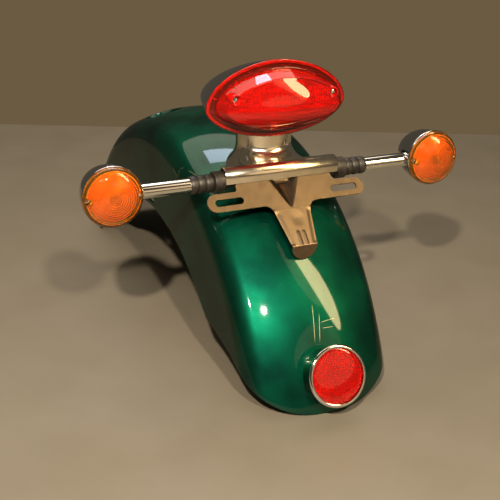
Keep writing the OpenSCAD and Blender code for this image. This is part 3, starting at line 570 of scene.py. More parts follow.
PAINT = MetallicPaint("dark green metallic paint", "paint")
CASTING = BrightMetal(
    "polished aluminium casting", "casting", "#f4e8d2", "#c0aa88", 0.13, 0.23, 22.0, 0.3
)
CHROME = BrightMetal("chrome plate", "chrome", "#d9d8d4", "#9a948a", 0.03, 0.09, 14.0, 0.15)
# Chrome darkened to stand for the dark surroundings it mirrors: painted reflection on the reflector
# cup.
CHROME_PAINTED_DARK_REFLECTION = BrightMetal("chrome darkened as painted reflection", "chrome", "#77705a", "#4a4534", 0.12, 0.2, 14.0, 0.4)
# One stainless sheet in two copies: this darker one is painted shade on the plate, and the lighter
# one below is painted reflection on the leg, tip and tongue.
STAINLESS_PAINTED_SHADE = BrightMetal(
    "pressed stainless plate", "stainless", "#55483a", "#473b30", 0.36, 0.42, 9.0, 0.3
)
# Lighter copy of the same stainless sheet: painted reflection on the leg, tip and tongue.
STAINLESS_PAINTED_REFLECTION = BrightMetal(
    "pressed stainless sheet", "stainless", "#7d6b57", "#66553f", 0.33, 0.4, 9.0, 0.3
)
ZINC = BrightMetal("zinc plate", "zinc", "#b9b7ad", "#7f7b6c", 0.25, 0.4, 5.0, 0.4)
RUBBER = MouldedRubber("moulded rubber", "rubber")
RED_LENS = TintedAcrylic("red acrylic", "red_lens", "#ff4a34", 0.94, 0.02)
RED_OPTIC = TintedAcrylic("red acrylic optics", "red_lens", "#e2120a", 0.25, 0.08)
AMBER_LENS = TintedAcrylic("amber acrylic", "amber_lens", "#ffb84c", 0.94, 0.02)
AMBER_OPTIC = TintedAcrylic("amber acrylic optics", "amber_lens", "#ffac14", 0.12, 0.1)
GLASS = BulbGlass("bulb glass", "bulb_glass")


@dataclass(frozen=True)
class Skin:
    """The fender's outer face: crown, shoulders and skirts swept about the wheel axis.

    A place on it is the length s across the section from its middle, and the angle t in
    degrees round the axis, from the rear over the top.
    """

    arc_r: float = 346.0
    centre_y: float = 13.826
    centre_z: float = -91.882
    crown_r: float = 210.0
    shoulder_r: float = 30.0
    shoulder_w: float = 182.0
    draft: float = 3.0
    depth: float = 117.0

    @property
    def crown_a(self) -> float:
        """Angle in radians at which the crown meets the shoulder."""
        half = self.shoulder_w / 2 - self.shoulder_r * math.cos(math.radians(self.draft))
        return math.asin(half / (self.crown_r - self.shoulder_r))

    @property
    def skirt_a(self) -> float:
        """Angle in radians of the skirts."""
        return math.radians(90.0 - self.draft)

    @property
    def crown_len(self) -> float:
        """Length of half the crown."""
        return self.crown_r * self.crown_a

    @property
    def shoulder_end(self) -> float:
        """Length at which the shoulder ends."""
        return self.crown_len + self.shoulder_r * (self.skirt_a - self.crown_a)

    @property
    def length(self) -> float:
        """Length of half the section.

        Returns:
            Length in millimetres.
        """
        fall = self.crown_r - (self.crown_r - self.shoulder_r) * math.cos(self.crown_a)
        fall -= self.shoulder_r * math.cos(self.skirt_a)
        return self.shoulder_end + (self.depth - fall) / math.cos(math.radians(self.draft))

    def tilt(self, s: Array) -> Array:
        """Angle of the face in radians at length |s|.

        Args:
            s: Lengths across the section, in either direction.

        Returns:
            Angles from level.
        """
        shoulder = self.crown_a + (np.abs(s) - self.crown_len) / self.shoulder_r
        return np.clip(np.where(np.abs(s) < self.crown_len, np.abs(s) / self.crown_r, shoulder),
                       0.0, self.skirt_a)

    def section(self, s: Array, g: Array = 0.0) -> tuple[Array, Array]:
        """Distances from the middle and below the crown at length |s|.

        Both are a circle's point, crown or shoulder, and past the shoulder the way down the
        skirt is added.

        Args:
            s: Lengths across the section, in either direction.
            g: How far outside the skin the face lies.

        Returns:
            Distances from the middle, and distances below the crown.
        """
        a = self.tilt(s)
        crown = np.abs(s) < self.crown_len
        past = np.maximum(0.0, np.abs(s) - self.shoulder_end)
        draft, inner = math.radians(self.draft), self.crown_r - self.shoulder_r
        side = np.where(crown, 0.0, inner * math.sin(self.crown_a) + past * math.sin(draft))
        low = self.crown_r - inner * math.cos(self.crown_a) + past * math.cos(draft)
        r = np.where(crown, self.crown_r, self.shoulder_r) + g
        return side + r * np.sin(a), np.where(crown, self.crown_r, low) - r * np.cos(a)

    def at(self, s: Array, t: Array, g: Array = 0.0) -> Array:
        """Points at lengths s and angles t, g outside the skin.

        Args:
            s: Lengths across the section, in either direction.
            t: Angles in degrees round the axis.
            g: How far outside the skin the face lies.

        Returns:
            Points as a (..., 3) array.
        """
        across, drop = self.section(s, g)
        r, a = self.arc_r - drop, np.radians(t)
        x = np.sign(s) * across
        return np.stack([x, self.centre_y - r * np.cos(a), self.centre_z + r * np.sin(a)], axis=-1)

    def place(self, s: float, t: float) -> Place:
        """The place on the skin whose Z points out of it and whose Y points forward.

        Args:
            s: Length across the section.
            t: Angle in degrees round the axis.

        Returns:
            The place.
        """
        a = math.radians(t)
        lean = math.copysign(float(self.tilt(np.array(s))), s)
        up = np.array([0.0, -math.cos(a), math.sin(a)])
        side = np.array([1.0, 0.0, 0.0])
        origin = self.at(np.array(float(s)), np.array(t))
        x = math.cos(lean) * side - math.sin(lean) * up
        z = math.sin(lean) * side + math.cos(lean) * up
        return Place(tuple(origin), tuple(x), (0.0, math.sin(a), math.cos(a)), tuple(z))


SKIN = Skin()
SEAT = (0.0, -124.141, 225.420)
STEM_Y, STEM_Z = -38.0, 4.6
X_AXIS, Y_AXIS, Z_AXIS = (1.0, 0.0, 0.0), (0.0, 1.0, 0.0), (0.0, 0.0, 1.0)


def seat_place(x: float, y: float, z: float) -> Place:
    """A place at a distance from the middle of the pedestal's foot, with the frame's axes."""
    origin = (SEAT[0] + x, SEAT[1] + y, SEAT[2] + z)
    return Place(origin, X_AXIS, Y_AXIS, Z_AXIS)


def rounded(points: Array, r: float, steps: int = 5) -> Array:
    """Rounds the inner corners of a path, each by a parabola over at most r of both legs.

    Args:
        points: Path as an (n, d) array.
        r: Length of the legs that a corner takes.
        steps: Steps of a corner.

    Returns:
        The longer path.
    """
    legs = np.linalg.norm(np.diff(points, axis=0), axis=1)
    u = np.linspace(0.0, 1.0, steps + 1)[:, None]
    out = [points[:1]]
    for i in range(1, len(points) - 1):
        before = points[i - 1] - points[i]
        after = points[i + 1] - points[i]
        a = points[i] + before * min(r, legs[i - 1] / 2) / legs[i - 1]
        b = points[i] + after * min(r, legs[i] / 2) / legs[i]
        out.append((1 - u) ** 2 * a + 2 * u * (1 - u) * points[i] + u**2 * b)
    out.append(points[-1:])
    return np.concatenate(out)


def perimeter(grid: Array) -> Array:
    """The border points of a grid, once round."""
    return np.concatenate([grid[0, :-1], grid[:-1, -1], grid[-1, :0:-1], grid[:0:-1, 0]])


def cylinder(place: Place, r: float, low: float, high: float, segments: int = 48) -> Surface:
    """A closed cylinder along the Z of its place."""
    profile = np.array([[0.0, low], [r, low], [r, high], [0.0, high]])
    return turned(place, profile, segments)


def prism(
    place: Place, outline: Array, low: float, high: float, middle: tuple[float, float] = (0.0, 0.0)
) -> Surface:
    """A closed prism: its outline is shrunk to the middle at the ends, h runs from low to high.

    Args:
        place: Place of the prism, whose Z runs along it.
        outline: Points about the middle, as an (n, 2) array.
        low: Height of its lower face.
        high: Height of its upper face.
        middle: Middle of the outline.

    Returns:
        The body.
    """
    levels = [(0.0, low), (1.0, low), (1.0, high), (0.0, high)]
    rows = [
        np.column_stack([np.array(middle) + k * outline, np.full(len(outline), h)])
        for k, h in levels
    ]
    return ringed(place, np.array(rows))


def slot_prism(place: Place, length: float, width: float, low: float, high: float) -> Surface:
    """A closed prism with round ends, long along the Y of its place.

    Args:
        place: Place of its middle.
        length: Length over its ends.
        width: Width.
        low: Height of its lower face.
        high: Height of its upper face.

    Returns:
        The body.
    """
    a = np.linspace(0.0, 2 * math.pi, 48, endpoint=False)
    shift = np.where(np.sin(a) >= 0, 1.0, -1.0) * (length - width) / 2
    outline = np.column_stack([width / 2 * np.cos(a), width / 2 * np.sin(a) + shift])
    return prism(place, outline, low, high)


def soft_square(share: float) -> Array:
    """Outline of a square of half width 1, whose corners are rounded over a share of it."""
    square = np.array([[1, 0], [1, 1], [-1, 1], [-1, -1], [1, -1], [1, 0.0]])
    return rounded(square, share)[:-1]


def cut(
    piece: bpy.types.Object, tools: list[Surface], finish: Finish, sharp: float | None = None
) -> None:
    """Cuts closed bodies out of a piece and applies it.

    Args:
        piece: Piece that is cut.
        tools: Bodies that do not meet each other.
        finish: Finish of the cut faces.
        sharp: Angle in degrees past which an edge stays sharp, or None to leave the edges.
    """
    joined = Surface()
    for tool in tools:
        joined.add(tool)
    cutter = joined.piece("cutter", finish)
    step = piece.modifiers.new("holes", "BOOLEAN")
    step.operation = "DIFFERENCE"
    step.solver = "EXACT"
    step.object = cutter
    depth = bpy.context.evaluated_depsgraph_get()
    mesh = bpy.data.meshes.new_from_object(piece.evaluated_get(depth))
    old = piece.data
    piece.modifiers.clear()
    piece.data = mesh
    bpy.data.meshes.remove(old)
    bpy.data.objects.remove(cutter)
    mesh.materials.clear()
    mesh.materials.append(finish.material())
    if sharp is not None:
        mesh.set_sharp_from_angle(angle=math.radians(sharp))


@dataclass(frozen=True)
class FenderSheet:
    """The pressed sheet with its folded hem, bolt pockets, skirt slots and bores."""

    sheet_t: float = 1.6
    hem_w: float = 9.0
    tail_angle: float = 15.4
    tail_round: float = 10.2
    tail_power: float = 2.6
    skirt_slope: float = 0.222
    sweep_h: float = 20.5
    sweep_angle: float = 40.0
    runout_angle: float = 122.0
    front_angle: float = 161.0
    edge_r: float = 229.0
    corner_r: float = 282.2
    pocket_s: float = 45.0
    pocket_t: float = 106.3
    pocket_r: float = 25.0
    pocket_depth: float = 8.0
    pocket_blend: float = 2.2
    pocket_bore_r: float = 5.5
    slot_edge: float = 9.0
    slot_t: float = 92.3
    slot_l: float = 28.0
    slot_w: float = 7.0
    foot_t: float = 66.5
    foot_bolt_s: float = 27.0
    foot_bolt_r: float = 4.4
    wire_r: float = 8.0
    reflector_t: float = 22.8
    reflector_bore_r: float = 2.4
    sharp: float = 50.0
    columns: tuple[float, ...] = (0.0, 15.0, 75.0, 110.0, 163.0)
    column_counts: tuple[int, ...] = (4, 36, 14, 9, 12)
    bands: tuple[float, float] = (100.0, 112.6)
    row_counts: tuple[int, int, int] = (96, 46, 52)

    def rear(self, s: Array) -> Array:
        """Angle of the rear edge at length |s|.

        Args:
            s: Lengths across the section, in either direction.

        Returns:
            Angles in degrees.
        """
        s = np.abs(s)
        round_part = self.tail_round * np.minimum(1.0, s / SKIN.shoulder_end) ** self.tail_power
        skirt = self.skirt_slope * np.maximum(0.0, s - SKIN.shoulder_end)
        turn = np.maximum(0.0, (s - SKIN.length + self.sweep_h) / self.sweep_h)
        return self.tail_angle + round_part + skirt + self.sweep_angle * turn**3

    def front(self, s: Array) -> Array:
        """Angle of the front edge or of the runout at length |s|.

        Args:
            s: Lengths across the section, in either direction.

        Returns:
            Angles in degrees.
        """
        r = SKIN.arc_r - SKIN.section(s)[1]
        share = np.clip((r - self.edge_r) / (self.corner_r - self.edge_r), 0.0, 1.0)
        return self.runout_angle + (self.front_angle - self.runout_angle) * share ** (1 / 1.1)

    def stations(self) -> Array:
        """Lengths of the columns, denser at the pockets, the shoulders and the sweep.

        Returns:
            Lengths from the left edge to the right.
        """
        ends = (*self.columns, SKIN.length)
        half = [
            np.linspace(ends[i], ends[i + 1], n, endpoint=False)
            for i, n in enumerate(self.column_counts)
        ]
        right = np.append(np.concatenate(half), SKIN.length)
        return np.concatenate([-right[:0:-1], right])

    def pocket(self, s: Array, t: Array) -> Array:
        """How far the pockets push the sheet: down to a level floor inside their radius.

        Args:
            s: Lengths across the section, in either direction.
            t: Angles in degrees.

        Returns:
            Heights, below zero in a pocket.
        """
        x = np.abs(s) - self.pocket_s
        y = np.radians(t - self.pocket_t) * SKIN.arc_r
        rho = np.hypot(x, y)
        sag = x**2 / (2 * SKIN.crown_r) + y**2 / (2 * SKIN.arc_r)
        blend = self.pocket_blend
        wall = smooth_step((self.pocket_r + blend - rho) / (2 * blend))
        return wall * (sag - self.pocket_depth)

    def face(self, inset: float, g: float, pressed: bool) -> Array:
        """Grid of a face g outside the skin, moved in from every edge by the inset.

        Args:
            inset: Distance from the edges.
            g: How far outside the skin the face lies.
            pressed: Whether the pockets are pressed into it.

        Returns:
            Points as a (rows, columns, 3) array.
        """
        full = self.stations()
        s = full * (SKIN.length - inset) / SKIN.length
        step = 0.01
        rear, front = self.rear(s), self.front(s)
        r = SKIN.arc_r - SKIN.section(s)[1]
        lean_r = np.radians(self.rear(np.abs(s) - step) - rear) / step * r
        lean_f = np.radians(self.front(np.abs(s) - step) - front) / step * r
        rear = rear + np.degrees(inset * np.sqrt(1 + lean_r**2) / r)
        front = front - np.degrees(inset * np.sqrt(1 + lean_f**2) / r)
        first, second = self.bands
        ends = [rear, np.full_like(s, first), np.full_like(s, second), front]
        rows = []
        for i, n in enumerate(self.row_counts):
            u = np.linspace(0.0, 1.0, n, endpoint=False)[:, None]
            rows.append((1 - u) * ends[i] + u * ends[i + 1])
        t = np.concatenate([*rows, front[None, :]])
        s = np.broadcast_to(s, t.shape)
        rise = g + self.pocket(s, t) if pressed else np.full_like(t, g)
        return SKIN.at(s, t, rise)

    def build(self) -> None:
        """Makes the sheet: both faces, the hem's round edge between them, and the holes."""
        body = Surface()
        r = self.sheet_t
        outer = self.face(r, 0.0, True)
        inner = self.face(self.hem_w + 0.6, -r, True)
        body.patch(outer)
        body.patch(inner, inward=True)
        turn = np.radians(np.linspace(90.0, -90.0, 9))
        path = [(r - r * math.cos(a), -r + r * math.sin(a)) for a in turn]
        path += [(self.hem_w - 1.0, -2 * r), (self.hem_w, -1.7 * r), (self.hem_w + 0.6, -r)]
        rim = [perimeter(self.face(inset, g, True)) for inset, g in path]
        body.patch(np.array(rim), closed=True)
        piece = body.piece("fender sheet", PAINT, self.sharp)
        tools = []
        for side in (-1.0, 1.0):
            pocket = SKIN.place(side * self.pocket_s, self.pocket_t)
            tools.append(cylinder(pocket, self.pocket_bore_r, -14.0, 2.0))
            slot = SKIN.place(side * (SKIN.length - self.slot_edge), self.slot_t)
            tools.append(slot_prism(slot, self.slot_l, self.slot_w, -8.0, 6.0))
            bolt = SKIN.place(side * self.foot_bolt_s, self.foot_t)
            tools.append(cylinder(bolt, self.foot_bolt_r, -8.0, 8.0))
        for t, bore in ((self.foot_t, self.wire_r), (self.reflector_t, self.reflector_bore_r)):
            tools.append(cylinder(SKIN.place(0.0, t), bore, -8.0, 8.0))
        cut(piece, tools, PAINT, self.sharp)
        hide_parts("fender")


@dataclass(frozen=True)
class Pedestal:
    """The polished casting: foot on the crown, neck, saddle and half-pipe cover of the stems."""

    neck_w: float = 68.0
    neck_d: float = 56.0
    neck_y: float = 8.0
    foot_w: float = 96.0
    foot_d: float = 84.0
    foot_edge: float = 4.5
    flare_h: float = 34.0
    flare_power: float = 2.4
    top: float = 57.0
    gasket_t: float = 2.0
    bar_y: float = 38.0
    bar_z: float = 10.4
    bar_r: float = 11.5
    bar_t: float = 2.0
    bar_low: float = 4.3
    bar_l: float = 144.0
    saddle_z: float = 38.0
    saddle_out: float = 1.15
    saddle_power: float = 0.62
    saddle_inset: float = 0.3
    ribs: tuple[float, float] = (-57.0, 52.0)
    rib_w: float = 5.0
    rib_box: tuple[float, ...] = (-47.9, -28.1, -3.0, 16.0)
    boss_box: tuple[float, ...] = (-12.0, 12.0, -44.0, -12.0, -0.6, 18.0)
    around: int = 128

    def crown(self, x: Array, y: Array) -> Array:
        """Height of the crown over the foot's middle, x across and y forward of it.

        Args:
            x: Distances across.
            y: Distances forward.

        Returns:
            Heights.
        """
        hoop = SKIN.arc_r - SKIN.crown_r + np.sqrt(SKIN.crown_r**2 - x**2)
        return SKIN.centre_z - SEAT[2] + np.sqrt(hoop**2 - (y + SEAT[1] - SKIN.centre_y) ** 2)

    def ring(self, w: float, d: float, y0: float, follow: float, h: float) -> Array:
        """An oval ring that follows the crown by a share and stands h above it.

        Args:
            w: Width.
            d: Depth.
            y0: Distance forward of its middle.
            follow: Share of the crown's height that is added.
            h: Height.

        Returns:
            Points as an (around, 3) array.
        """
        a = np.linspace(0.0, 2 * math.pi, self.around, endpoint=False)
        x, y = w / 2 * np.cos(a), y0 + d / 2 * np.sin(a)
        return np.stack([x, y, follow * self.crown(x, y) + h], axis=-1)

    def neck(self) -> Array:
        """Rings from the gasket over the foot's rounded edge and up the flare to the lamp.

        Up the flare the oval shrinks from the foot's to the neck's with (1 - q)^flare_power.

        Returns:
            Points as a (rings, around, 3) array.
        """
        rows = [
            self.ring(k * self.foot_w, k * self.foot_d, 0.0, 1.0, self.gasket_t)
            for k in (0.0, 0.5, 0.97)
        ]
        rise = self.foot_edge - self.gasket_t
        for a in np.radians(np.linspace(-60.0, 60.0, 7)):
            k = 0.97 + 0.03 * math.cos(a)
            h = self.gasket_t + rise * (0.5 + math.sin(a) / 2)
            rows.append(self.ring(k * self.foot_w, k * self.foot_d, 0.0, 1.0, h))
        for q in np.linspace(0.02, 1.0, 36):
            f = 0.985 * (1 - q) ** self.flare_power
            w = self.neck_w + (self.foot_w - self.neck_w) * f
            d = self.neck_d + (self.foot_d - self.neck_d) * f
            h = self.foot_edge + (self.flare_h - self.foot_edge) * q
            rows.append(self.ring(w, d, self.neck_y * (1 - f), 1 - q, h))
        for h in (40.0, 46.0, self.top):
            rows.append(self.ring(self.neck_w, self.neck_d, self.neck_y, 0.0, h))
        rows.append(self.ring(1.0, 1.0, self.neck_y, 0.0, self.top))
        return np.array(rows)

    def saddle(self) -> Array:
        """The hollow curve from the neck down to the bar: a quarter turn in section.

        Returns:
            Points as a (rings, around, 3) array.
        """
        a = np.linspace(0.0, 2 * math.pi, self.around, endpoint=False)
        f = np.minimum(1.0, 1.2 * np.sqrt(np.maximum(0.0, -np.sin(a))))
        x = (self.neck_w / 2 - self.saddle_inset) * np.cos(a)
        y = self.neck_y + (self.neck_d / 2 - self.saddle_inset) * np.sin(a)
        land = self.bar_z + (self.bar_r - self.saddle_inset) * f
        rows = []
        for b in np.radians(np.linspace(90.0, 0.0, 19)):
            p, low = 1 - math.cos(b), math.sin(b)
            wide = x * (1 + (self.saddle_out - 1) * p * np.minimum(1.0, 3 * f))
            back = y + (-self.bar_y - y) * p * f
            fall = (self.saddle_z - land) * low**self.saddle_power
            rows.append(np.stack([wide, back, self.saddle_z - fall], axis=-1))
        low_row = rows[0].copy()
        low_row[:, 2] = self.bar_low + 1.0
        return np.array([low_row, *rows])

    def bar_section(self, g: float, low: float) -> Array:
        """The half pipe's outer line in the YZ plane, grown by g.

        Args:
            g: How much its radius grows.
            low: Height at which it ends.

        Returns:
            Points as an (n, 2) array.
        """
        r = self.bar_r + g
        bow = arc((-self.bar_y, self.bar_z), r, 180.0, 0.0, 33)
        start = np.array([[-self.bar_y - r, low]])
        end = np.array([[-self.bar_y + r, low]])
        return np.concatenate([start, bow, end])

    def bar(self) -> Array:
        """The cover's shell along X, with rounded ends.

        Returns:
            Points as a (sections, n, 3) array.
        """
        ends = [(-0.9, 0.0), (-0.3, 0.25), (0.0, 0.8)]
        half = self.bar_l / 2
        stops = [(g, -half + x) for g, x in ends] + [(g, half - x) for g, x in reversed(ends)]
        rows = []
        for g, x in stops:
            outer = self.bar_section(g, self.bar_low)
            inner = self.bar_section(-self.bar_t - g, self.bar_low)[::-1]
            line = np.concatenate([outer, inner])
            rows.append(np.column_stack([np.full(len(line), x), line]))
        first, final = rows[0].copy(), rows[-1].copy()
        n = len(first) // 2
        first[n:], final[n:] = rows[0][:n][::-1], rows[-1][:n][::-1]
        return np.array([first, *rows, final])

    def block(
        self, x0: float, x1: float, y0: float, y1: float, z0: float, z1: float
    ) -> Surface:
        """A small block between two corners, with softened edges.

        Args:
            x0: Left end.
            x1: Right end.
            y0: Rear end.
            y1: Front end.
            z0: Lower end.
            z1: Upper end.

        Returns:
            The body.
        """
        middle = ((x0 + x1) / 2, (y0 + y1) / 2)
        outline = np.array([(x1 - x0) / 2, (y1 - y0) / 2]) * soft_square(0.1)
        return prism(seat_place(0.0, 0.0, 0.0), outline, z0, z1, middle)

    def build(self) -> None:
        """Makes the casting: neck, saddle, half pipe, its two ribs and the boss."""
        seat = seat_place(0.0, 0.0, 0.0)
        body = ringed(seat, self.neck())
        saddle = self.saddle()
        cap = [saddle[0] * (k, 1.0, 1.0) for k in (0.0, 0.22, 0.66)]
        body.patch(seat.put(np.concatenate([cap, saddle])), closed=True)
        body.patch(seat.put(self.bar()), closed=True)
        for x0 in self.ribs:
            body.add(self.block(x0, x0 + self.rib_w, *self.rib_box))
        body.add(self.block(*self.boss_box))
        piece = body.piece("pedestal casting", CASTING, 38.0)
        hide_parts("pedestal")


@dataclass(frozen=True)
class TailLamp:
    """The tail lamp: plated housing, rubber, red lens with prism rows and its reflector bowl."""

    lens_y: float = -22.0
    lens_z: float = 85.7
    half_w: float = 87.5
    up: float = 51.0
    down: float = 38.5
    power: float = 2.0 / 1.85
    flange_w: float = 9.5
    flange_t: float = 3.0
    side: float = 21.5
    taper: float = 6.5
    dome: float = 13.5
    wall: float = 2.6
    depth: float = 62.0
    gasket_t: float = 2.0
    row_mm: float = 6.2
    column_mm: float = 3.4
    tooth_h: float = 2.9
    tooth_fall: float = 1.3
    optic_t: float = 1.2
    bowl_inset: float = 14.5
    bowl_d: float = 24.0
    screw_x: float = 60.2
    screw_up: float = 13.6
    screw_r: float = 2.3
    recess_r: float = 5.2
    wire_r: float = 8.0
    neck_screw: Point = (20.0, 14.0, 2.8)
    socket_r: float = 9.0

    @property
    def place(self) -> Place:
        """The place of the lens's rear face."""
        return seat_place(0.0, self.lens_y, self.lens_z)

    def rings(self, profile: Array, around: int, flutes: float = 0.0) -> Array:
        """Rings of the lamp's outline.

        A ring's point is k (width - inset) cos^p a, k (height - inset) sin^p a with the sign
        kept, where the height is larger above the widest line than below it.

        Args:
            profile: Rows of [inset, k, y].
            around: Points of a ring.
            flutes: Depth of 120 flutes round the rings.

        Returns:
            Points as a (rows, around, 3) array.
        """
        a = np.linspace(0.0, 2 * math.pi, around, endpoint=False)
        inset, k, y = (profile[:, i : i + 1] for i in range(3))
        tall = np.where(np.sin(a) < 0, self.down, self.up)
        wave = inset + flutes * np.abs(np.sin(60 * a))
        x = k * (self.half_w - wave) * np.sign(np.cos(a)) * np.abs(np.cos(a)) ** self.power
        z = k * (tall - wave) * np.sign(np.sin(a)) * np.abs(np.sin(a)) ** self.power
        return np.stack([x, np.broadcast_to(y, x.shape), z], axis=-1)

    def shell(self, profile: Array, around: int, flutes: float = 0.0) -> Surface:
        """A closed body whose section is a profile carried round the lamp's outline."""
        return ringed(self.place, self.rings(profile, around, flutes))

    def screw_axis(self, side: Side) -> Place:
        """The axis of a lens screw, whose Z points out of the lens.

        Args:
            side: Side of the screw.

        Returns:
            The place.
        """
        shift = np.array([side.value * self.screw_x, 0.0, self.screw_up])
        origin = tuple(np.array(self.place.origin) + shift)
        return Place(origin, X_AXIS, Z_AXIS, (0.0, -1.0, 0.0))

    def lens(self) -> None:
        """The lens: flange, tapered side and domed face, hollow, with a pocket for each screw."""
        face = self.flange_w + self.taper
        front = -self.flange_t - self.side
        k = np.linspace(0.0, 0.97, 16)
        outer = np.column_stack([np.full_like(k, face), k, front - self.dome * (1 - k**2)])
        inner = np.column_stack(
            [np.full_like(k, face + self.wall), k, front + self.wall - self.dome * (1 - k**2)]
        )
        path = np.array([
            outer[-1], [face - 0.2, 1.0, front], [self.flange_w, 1.0, -self.flange_t],
            [0.0, 1.0, -self.flange_t], [0.0, 1.0, 0.0], [self.flange_w + self.wall, 1.0, 0.0],
            [self.flange_w + self.wall, 1.0, -self.flange_t],
            [face + self.wall, 1.0, front + self.wall], inner[-1],
        ])
        profile = np.concatenate([outer[:-1], rounded(path, 1.3), inner[-2::-1]])
        piece = self.shell(profile, 240).piece("tail lens", RED_LENS, 30.0)
        cut(piece, [self.screw_tool(side) for side in Side], RED_LENS, 30.0)
        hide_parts("tail_lens")

    def screw_tool(self, side: Side) -> Surface:
        """The body that cuts a screw's recess and bore.

        Args:
            side: Side of the screw.

        Returns:
            The body.
        """
        bore, recess = self.screw_r, self.recess_r
        profile = np.array([
            [0.0, -4.0], [bore, -4.0], [bore, 20.0], [recess, 20.0], [recess, 50.0], [0.0, 50.0]
        ])
        return turned(self.screw_axis(side), profile, 48)

    def sleeves(self) -> None:
        """The lens's sleeves round its screws, down to the rubber."""
        bore = self.screw_r
        profile = np.array([
            [bore, 0.3], [6.6, 0.3], [6.9, 21.5], [6.4, 24.0], [5.25, 24.0], [5.25, 19.9],
            [bore, 19.9], [bore, 0.3],
        ])
        for side in Side:
            sleeve = turned(self.screw_axis(side), profile, 64)
            sleeve.piece(f"tail lens sleeve {side.word}", RED_OPTIC)

    def optic(self) -> None:
        """The prism rows inside the face: saw teeth along the height, over a fluted wall.

        A point is (u w(z), y(z, u) + tooth, z), where w is the face's half width at z. The
        teeth lean more in the lower half, where they throw the light from above outwards.
        """
        inset = self.flange_w + self.taper + self.wall + 0.6
        front = -self.flange_t - self.side + self.wall + 0.5
        top, low = self.up - inset, -(self.down - inset)
        rows = np.linspace(low * 0.985, top * 0.985, int((top - low) / self.row_mm) * 8)
        tall = np.where(rows < 0, self.down - inset, self.up - inset)
        k = np.abs(rows) / tall
        half = (self.half_w - inset) * (1 - k ** (1 / self.power * 2)) ** (self.power / 2)
        u = np.linspace(-1.0, 1.0, 321)
        x = half[:, None] * u[None, :]
        reach = np.hypot(x / (self.half_w - inset), (rows / tall)[:, None])
        lean = self.tooth_h - self.tooth_fall * smooth_step(rows / 16.0)[:, None]
        tooth = lean * np.mod(rows / self.row_mm, 1.0)[:, None]
        column = (3.2 - lean) * 0.7 * np.abs(np.sin(x * math.pi / self.column_mm))
        y = front - self.dome * np.maximum(0.0, 1 - reach**2) + 0.2 + tooth + column
        z = np.broadcast_to(rows[:, None], x.shape)
        sheet = np.stack([x, y, z], axis=-1)
        back = sheet.copy()
        back[..., 1] += self.optic_t
        slab(self.place, sheet, back).piece("tail lens prism rows", RED_OPTIC, 20.0)

    def skirt(self) -> None:
        """The fluted band inside the lens's side wall and its flange."""
        inner = self.flange_w + self.wall + 0.3
        front = -self.flange_t - self.side + self.wall + 1.0
        profile = np.array([
            [inner, 1.0, -0.4], [inner + self.taper - 1.0, 1.0, front],
            [inner + self.taper + 0.2, 1.0, front], [inner + 1.2, 1.0, -0.4], [inner, 1.0, -0.4],
        ])
        body = self.shell(profile, 960, 0.7)
        band = np.array([
            [0.9, 1.0, -0.5], [0.9, 1.0, -1.7], [3.6, 1.0, -1.7], [3.6, 1.0, -0.5],
            [0.9, 1.0, -0.5],
        ])
        body.patch(self.place.put(self.rings(band, 960, 0.6)), closed=True)
        body.piece("tail lens flutes", RED_OPTIC, 20.0)

    def bowl(self) -> None:
        """The bright reflector behind the optics: a shallow bowl with a hole for the bulb."""
        k = np.linspace(1.0, 0.16, 18)
        y = 4.0 + self.bowl_d * (1 - k**2)
        front = np.column_stack([np.full_like(k, self.bowl_inset), k, y])
        back = front[::-1].copy()
        back[:, 2] += 0.8
        profile = np.concatenate([front, back, front[:1]])
        self.shell(profile, 160).piece("tail reflector bowl", CHROME)

    def housing(self) -> None:
        """The housing: a drawn shell whose back is rounded, with bores for wire and screws."""
        form = np.array([
            [0, 2], [0.3, 5.5], [0.62, 11.0], [0.85, 16.0], [0.96, 20.0], [1.0, 24.0]
        ])
        d, t = self.depth, 2.0
        one = np.ones(len(form))
        outer = np.column_stack([form[:, 1], one, self.gasket_t + form[:, 0] * d])
        inner = np.column_stack([form[:, 1] + t, one, self.gasket_t + form[:, 0] * (d - t)])
        middle_out = np.array([[24.0, 0.5, self.gasket_t + d], [24.0, 0.0, self.gasket_t + d]])
        middle_in = np.array([
            [26.0, 0.0, self.gasket_t + d - t], [26.0, 0.5, self.gasket_t + d - t]
        ])
        scaled = rounded(outer, 9.0, 6)
        hollow = rounded(inner, 9.0, 6)[::-1]
        profile = np.concatenate([scaled, middle_out, middle_in, hollow, outer[:1]])
        piece = self.shell(profile, 200).piece("tail housing", CHROME, 40.0)
        x, y, r = self.neck_screw
        tools = [cylinder(seat_place(0.0, Pedestal.neck_y, 0.0), self.wire_r, 40.0, 80.0)]
        tools += [cylinder(seat_place(k * x, y, 0.0), r, 40.0, 80.0) for k in (-1.0, 1.0)]
        back = Place(self.place.origin, X_AXIS, (0.0, 0.0, -1.0), Y_AXIS)
        tools.append(cylinder(back, self.socket_r, 55.0, 75.0))
        cut(piece, tools, CHROME, 40.0)
        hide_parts("tail_housing")

    def gasket(self) -> None:
        """The rubber between housing and lens, with a bulging edge."""
        path = np.array([
            [6.0, 1.0, 0.0], [1.2, 1.0, 0.0], [1.0, 1.0, 1.0], [1.2, 1.0, 2.0], [6.0, 1.0, 2.0],
            [6.0, 1.0, 0.0],
        ])
        piece = self.shell(rounded(path, 0.5), 240).piece("tail lens rubber", RUBBER)
        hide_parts("tail_lens_gasket")

    def build(self) -> None:
        """Makes every part of the lamp."""
        self.housing()
        self.gasket()
        self.lens()
        self.sleeves()
        self.optic()
        self.skirt()
        self.bowl()
        dress(CHROME, "tail_lens_screws")
        dress(ZINC, "housing_screws", "tail_bulb_holder")
        dress(GLASS, "tail_bulb")


